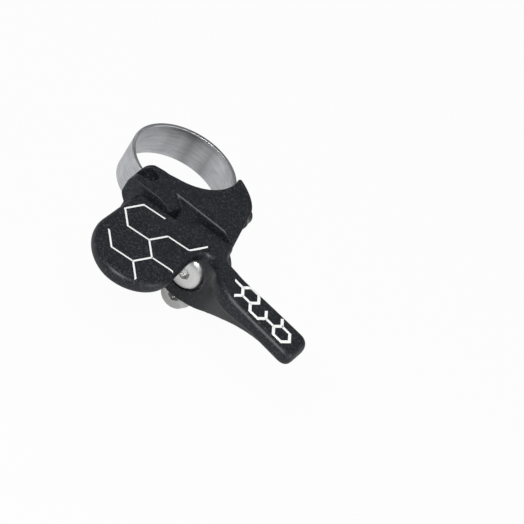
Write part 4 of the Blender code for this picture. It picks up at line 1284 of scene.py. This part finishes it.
    def cutters(self) -> list[BMesh]:
        """The solids of every bore, and of the spring's notch.

        Returns:
            The solids.
        """
        x, z = self.pivot
        face, back = self.hub_y
        front = self.bearing_y[0]
        ear_face, ear_back = self.ear_y
        reach, depth, inner = self.spring_notch
        return [
            bore(self.anchor_clearance, self.anchor, self.anchor_head_y - GAP, ear_face),
            bore(self.anchor_bore, self.anchor, ear_face - CUT_MARGIN, ear_back + CUT_MARGIN),
            bore(self.bore_radius, self.pivot, front - GAP / 2, back + CUT_MARGIN),
            bore(self.head_radius, self.pivot, face - CUT_MARGIN, front),
            block((x - reach, depth - 0.6, z - 0.6), (x - inner, back + CUT_MARGIN, z + 0.6)),
        ]

    def build(self) -> bpy.types.Object:
        """Join plate, hub, gusset and ear, cut the bores, and cast the result with soft blends.

        Returns:
            The lever's piece.
        """
        form = Form(self.plate()).join(bore(self.hub_radius, self.pivot, *self.hub_y, 96))
        form.join(self.gusset()).join(self.ear())
        for cutter in self.cutters():
            form.cut(cutter)
        form.recast(self.voxel, self.rounds)
        return form.deliver("lever_body", self.finishes.coat, Body.LEVER, Slot.COAT, ("lever",), Shading.CAST)


@dataclass(frozen=True)
class Stroke:
    """A run of a hexagon's sides, drawn as one white line."""

    centre: Point
    radius: float
    turn: float
    first: int = 0
    sides: int = 6
    line: float = 0.42


@dataclass
class LinePrint:
    """Thin white honeycomb lines on the lever, with heavier small cells along its arm."""

    finishes: Finishes
    surface: bpy.types.Object
    lift: float = 0.05
    film: float = 0.02
    drop_z: float = 12.0
    steps: int = 20
    strokes: Sequence[Stroke] = (
        Stroke((5.30, -28.30), 5.2, 8.0, 1, 5),
        Stroke((6.55, -37.22), 5.2, 8.0, 3, 4),
        Stroke((13.65, -31.67), 5.2, 8.0, 1, 1),
        Stroke((13.65, -31.67), 5.2, 8.0, 4, 1),
        Stroke((14.90, -40.60), 5.2, 8.0, 3, 1),
        Stroke((20.75, -26.12), 5.2, 8.0, 2, 1),
        Stroke((28.00, -28.95), 2.2, 0.0, 5, 3, 0.7),
        Stroke((31.30, -27.04), 2.2, 0.0, 4, 5, 0.7),
        Stroke((34.60, -28.95), 2.2, 0.0, 3, 4, 0.7),
        Stroke((37.90, -27.04), 2.2, 0.0, 4, 3, 0.7),
        Stroke((41.20, -28.95), 2.2, 0.0, 3, 5, 0.7),
    )

    def rails(self, stroke: Stroke) -> tuple[list[Point], list[Point]]:
        """The outer and the inner edge of a stroke.

        Args:
            stroke: The stroke.

        Returns:
            As many points for each, the sides cut into short steps so that they follow the surface.
        """
        edges: tuple[list[Point], list[Point]] = ([], [])
        start = stroke.turn + 60.0 * stroke.first
        for edge, side in zip(edges, (0.5, -0.5)):
            reach = stroke.radius + side * stroke.line / math.cos(math.radians(30.0))
            corners = arc(stroke.centre, reach, start, start + 60.0 * stroke.sides, stroke.sides + 1)
            for first, second in zip(corners, corners[1:]):
                for step in range(self.steps):
                    share = step / self.steps
                    edge.append((first[0] + (second[0] - first[0]) * share,
                                 first[1] + (second[1] - first[1]) * share))
            edge.append(corners[-1])
        return edges

    def strip(self, stroke: Stroke) -> BMesh:
        """A stroke as a flat strip above the lever, facing up.

        Args:
            stroke: The stroke.

        Returns:
            The strip, in metres.
        """
        bm = bmesh.new()
        outer, inner = [[bm.verts.new((x, y, self.drop_z)) for x, y in edge] for edge in self.rails(stroke)]
        for step in range(len(outer) - 1):
            bm.faces.new((inner[step], outer[step], outer[step + 1], inner[step + 1]))
        bmesh.ops.remove_doubles(bm, verts=bm.verts, dist=1e-4)
        bmesh.ops.transform(bm, matrix=Matrix.Scale(METRES, 4), verts=bm.verts)
        return bm

    def build(self) -> None:
        """Lay each stroke on the lever."""
        for number, stroke in enumerate(self.strokes, 1):
            name = f"honeycomb_line_{number}"
            mesh = as_mesh(self.strip(stroke), name)
            piece = link(name, mesh)
            modify(piece, "SHRINKWRAP", target=self.surface, wrap_method="PROJECT", use_project_z=True,
                   use_positive_direction=False, use_negative_direction=True, offset=self.lift * METRES)
            modify(piece, "SOLIDIFY", thickness=self.film * METRES, offset=1.0)
            mesh.materials.append(self.finishes.white)
            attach(piece, Body.LEVER.value)
            LOG.info("%s: %d faces", piece.name, len(mesh.polygons))


@dataclass
class Pivot:
    """The pivot bolt, and the bearing and spring inside the hub."""

    finishes: Finishes
    axis: Point = (16.6, 0.0)
    seat_y: float = -22.0
    rim: float = 0.6
    dome: float = 1.6
    head_radius: float = 4.1
    crown_radius: float = 1.75
    shank_radius: float = 1.7
    tip_y: float = -10.9
    chamfer: float = 0.4
    dome_steps: int = 17
    socket_across: float = 2.5
    socket_depth: float = 1.5
    coil_y: Range = (-16.2, -17.4)
    coil_sharp: float = 50.0

    def build(self) -> None:
        """Turn the bolt, cut its socket and dress the pieces inside the hub."""
        dome_y = self.seat_y - self.rim - self.dome
        swell = self.head_radius - self.crown_radius
        profile: list[Point] = [(0.0, dome_y)]
        for step in range(self.dome_steps):
            turn = math.radians(90.0 * step / self.dome_steps)
            profile.append((self.crown_radius + swell * math.sin(turn),
                            dome_y + self.dome * (1.0 - math.cos(turn))))
        edge = self.chamfer
        profile += [(self.head_radius, self.seat_y - self.rim), (self.head_radius, self.seat_y),
                    (self.shank_radius, self.seat_y), (self.shank_radius, self.tip_y - edge),
                    (self.shank_radius - edge, self.tip_y), (0.0, self.tip_y)]
        socket = hex_key(self.axis, dome_y - CUT_MARGIN, dome_y + self.socket_depth, self.socket_across)
        finish = TurnedSteel("pivot_bolt_steel", self.axis, (0.90, 0.90, 0.89), (0.78, 0.78, 0.77),
                             0.36).make()
        bolt = Form(lathe(profile, self.axis)).cut(socket).ease(0.1, 3)
        bolt.deliver("pivot_button_bolt", finish, Body.BRACKET, Slot.SATIN, ("pivot_bolt",))
        self.make_spring()
        races = ("pivot_spacer", "bearing_inner_race", "bearing_outer_race", "bearing_shield_front",
                 "bearing_shield_back")
        balls = tuple(f"bearing_ball_{number}" for number in range(1, 8))
        for node in races + balls:
            dress(node, self.finishes.satin)
        dress("bearing_cage", self.finishes.dark)

    def make_spring(self) -> None:
        """Copy the CAD spring, merged, as a piece that sits between the bracket and the lever."""
        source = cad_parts["return_spring"]
        bm = bmesh.new()
        bm.from_mesh(source.data)
        bmesh.ops.remove_doubles(bm, verts=bm.verts, dist=1e-6)
        mesh = as_mesh(bm, "spring_coil")
        mesh.transform(source.matrix_world)
        mesh.shade_smooth()
        mesh.set_sharp_from_angle(angle=math.radians(self.coil_sharp))
        mesh.materials.append(self.finishes.satin)
        coil = link("spring_coil", mesh)
        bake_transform(coil)
        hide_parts("return_spring")
        LOG.info("%s: %d faces", coil.name, len(mesh.polygons))


@dataclass
class Anchor:
    """The screw and washer that hold the wire on the lever's ear."""

    finishes: Finishes
    axis: Point = (16.3, -9.5)
    head_y: float = -19.4
    head_radius: float = 3.2
    head_height: float = 1.4
    washer_radius: float = 3.7
    washer_thickness: float = 0.6
    shank_radius: float = 1.7
    tip_y: float = -13.9
    chamfer: float = 0.25
    socket_across: float = 2.5
    socket_depth: float = 1.0

    def build(self) -> None:
        """Turn the screw and the washer."""
        under = self.head_y + self.head_height
        edge = self.chamfer
        profile = [(0.0, self.head_y), (self.head_radius - edge, self.head_y),
                   (self.head_radius, self.head_y + edge), (self.head_radius, under),
                   (self.shank_radius, under), (self.shank_radius, self.tip_y), (0.0, self.tip_y)]
        socket = hex_key(self.axis, self.head_y - CUT_MARGIN, self.head_y + self.socket_depth,
                         self.socket_across)
        finish = TurnedSteel("anchor_steel", self.axis, (0.80, 0.80, 0.79), (0.62, 0.62, 0.61), 0.34).make()
        screw = Form(lathe(profile, self.axis)).cut(socket).ease(0.09, 3)
        screw.deliver("anchor_screw", finish, Body.LEVER, Slot.SATIN, ("cable_anchor_screw",))
        washer = Form(flat_ring(self.axis, (self.shank_radius + GAP, self.washer_radius), under + GAP,
                                self.washer_thickness)).ease(0.12)
        washer.deliver("anchor_washer", finish, Body.LEVER, Slot.SATIN, ("cable_anchor_washer",))


@dataclass(frozen=True)
class Lamp:
    """A square lamp: its direction from the object, its side in millimetres and its power in watts."""

    name: str
    direction: tuple[float, float, float]
    size: float
    watts: float


@dataclass
class Studio:
    """Floor, lamps, world and camera."""

    target: tuple[float, float, float] = (24.36, 1.28, -4.35)
    back: tuple[float, float, float] = (0.1472, -0.795, 0.590)
    up: tuple[float, float, float] = (-0.6123, 0.395, 0.686)
    distance: float = 1500.0
    frame_width: float = 108.26
    sensor: float = 36.0
    floor_z: float = -13.7
    floor_half: float = 4000.0
    paper: tuple[Color, Color] = ((0.50, 0.50, 0.51), (0.52, 0.52, 0.53))
    camera_glow: float = 0.96
    mirror_glow: float = 0.3
    world_light: float = 0.2
    lamp_distance: float = 600.0
    lamps: Sequence[Lamp] = (
        Lamp("key", (-0.05, -0.64, 0.76), 320.0, 3.6),
        Lamp("side", (0.95, 0.05, 0.3), 350.0, 1.2),
    )

    def axes(self) -> tuple[Vector, Vector, Vector]:
        """The camera's directions.

        Returns:
            Its right, up and back directions.
        """
        back = Vector(self.back).normalized()
        up = Vector(self.up)
        up = (up - up.dot(back) * back).normalized()
        return up.cross(back), up, back

    def make_camera(self) -> None:
        """Place the camera at the photograph's viewing angle."""
        right, up, back = self.axes()
        data = bpy.data.cameras.new("camera")
        data.sensor_width = self.sensor
        data.lens = self.sensor * self.distance / self.frame_width
        camera = link("camera", data)
        place = Matrix((right, up, back)).transposed().to_4x4()
        place.translation = (Vector(self.target) + back * self.distance) * METRES
        camera.matrix_world = place
        bpy.context.scene.camera = camera

    def make_floor(self) -> None:
        """Lay the pale floor, which looks white to the camera but keeps the shadow."""
        bm = bmesh.new()
        size = self.floor_half * METRES
        bmesh.ops.create_grid(bm, x_segments=1, y_segments=1, size=size,
                              matrix=Matrix.Translation((0.0, 0.0, self.floor_z * METRES)))
        mesh = as_mesh(bm, "floor")
        floor = link("floor", mesh)
        recipe = Recipe("pale_floor")
        cloud = recipe.noise(recipe.place(), 0.01, 2.0)
        paper = recipe.mix(cloud, *self.paper)
        recipe.fill(recipe.shader, {"Base Color": paper, "Roughness": 0.9})
        glow = recipe.add("ShaderNodeEmission", {"Color": WHITE, "Strength": 1.0})
        path = recipe.add("ShaderNodeLightPath", {}).outputs
        mirrored = recipe.math("MAXIMUM", path["Is Glossy Ray"], path["Is Transmission Ray"])
        seen = recipe.math("MAXIMUM", recipe.math("MULTIPLY", path["Is Camera Ray"], self.camera_glow),
                           recipe.math("MULTIPLY", mirrored, self.mirror_glow))
        blend = recipe.add("ShaderNodeMixShader", {0: seen, 1: recipe.shader.outputs[0],
                                                   2: glow.outputs[0]})
        output = recipe.tree.nodes["Material Output"]
        recipe.tree.links.new(blend.outputs[0], output.inputs["Surface"])
        mesh.materials.append(recipe.material)

    def hang(self, lamp: Lamp) -> None:
        """Hang a lamp so that it points at the object.

        Args:
            lamp: The lamp.
        """
        data = bpy.data.lights.new(lamp.name, "AREA")
        configure(data, {"shape": "SQUARE", "size": lamp.size * METRES, "energy": lamp.watts})
        fitting = link(lamp.name, data)
        offset = Vector(lamp.direction).normalized() * self.lamp_distance
        fitting.location = (Vector(self.target) + offset) * METRES
        fitting.rotation_mode = "QUATERNION"
        fitting.rotation_quaternion = (-offset).to_track_quat("-Z", "Y")

    def make_world(self) -> None:
        """Fill the room with even white light."""
        world = bpy.data.worlds.new("studio_world")
        bpy.context.scene.world = world
        world.use_nodes = True
        background = world.node_tree.nodes["Background"]
        background.inputs["Color"].default_value = WHITE
        background.inputs["Strength"].default_value = self.world_light

    def build(self) -> None:
        """Set the whole studio."""
        bpy.context.scene.view_settings.view_transform = "Standard"
        self.make_camera()
        self.make_floor()
        self.make_world()
        for lamp in self.lamps:
            self.hang(lamp)


def main() -> None:
    """Build every sub-assembly around the frame."""
    logging.basicConfig(level=logging.INFO, format="%(name)s: %(message)s")
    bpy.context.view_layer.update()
    Studio().build()
    finishes = Finishes()
    clamp = Clamp(finishes)
    clamp.build()
    Bracket(finishes, clamp).build()
    lever = Lever(finishes).build()
    LinePrint(finishes, lever).build()
    Pivot(finishes).build()
    Anchor(finishes).build()


if __name__ == "__main__":
    main()
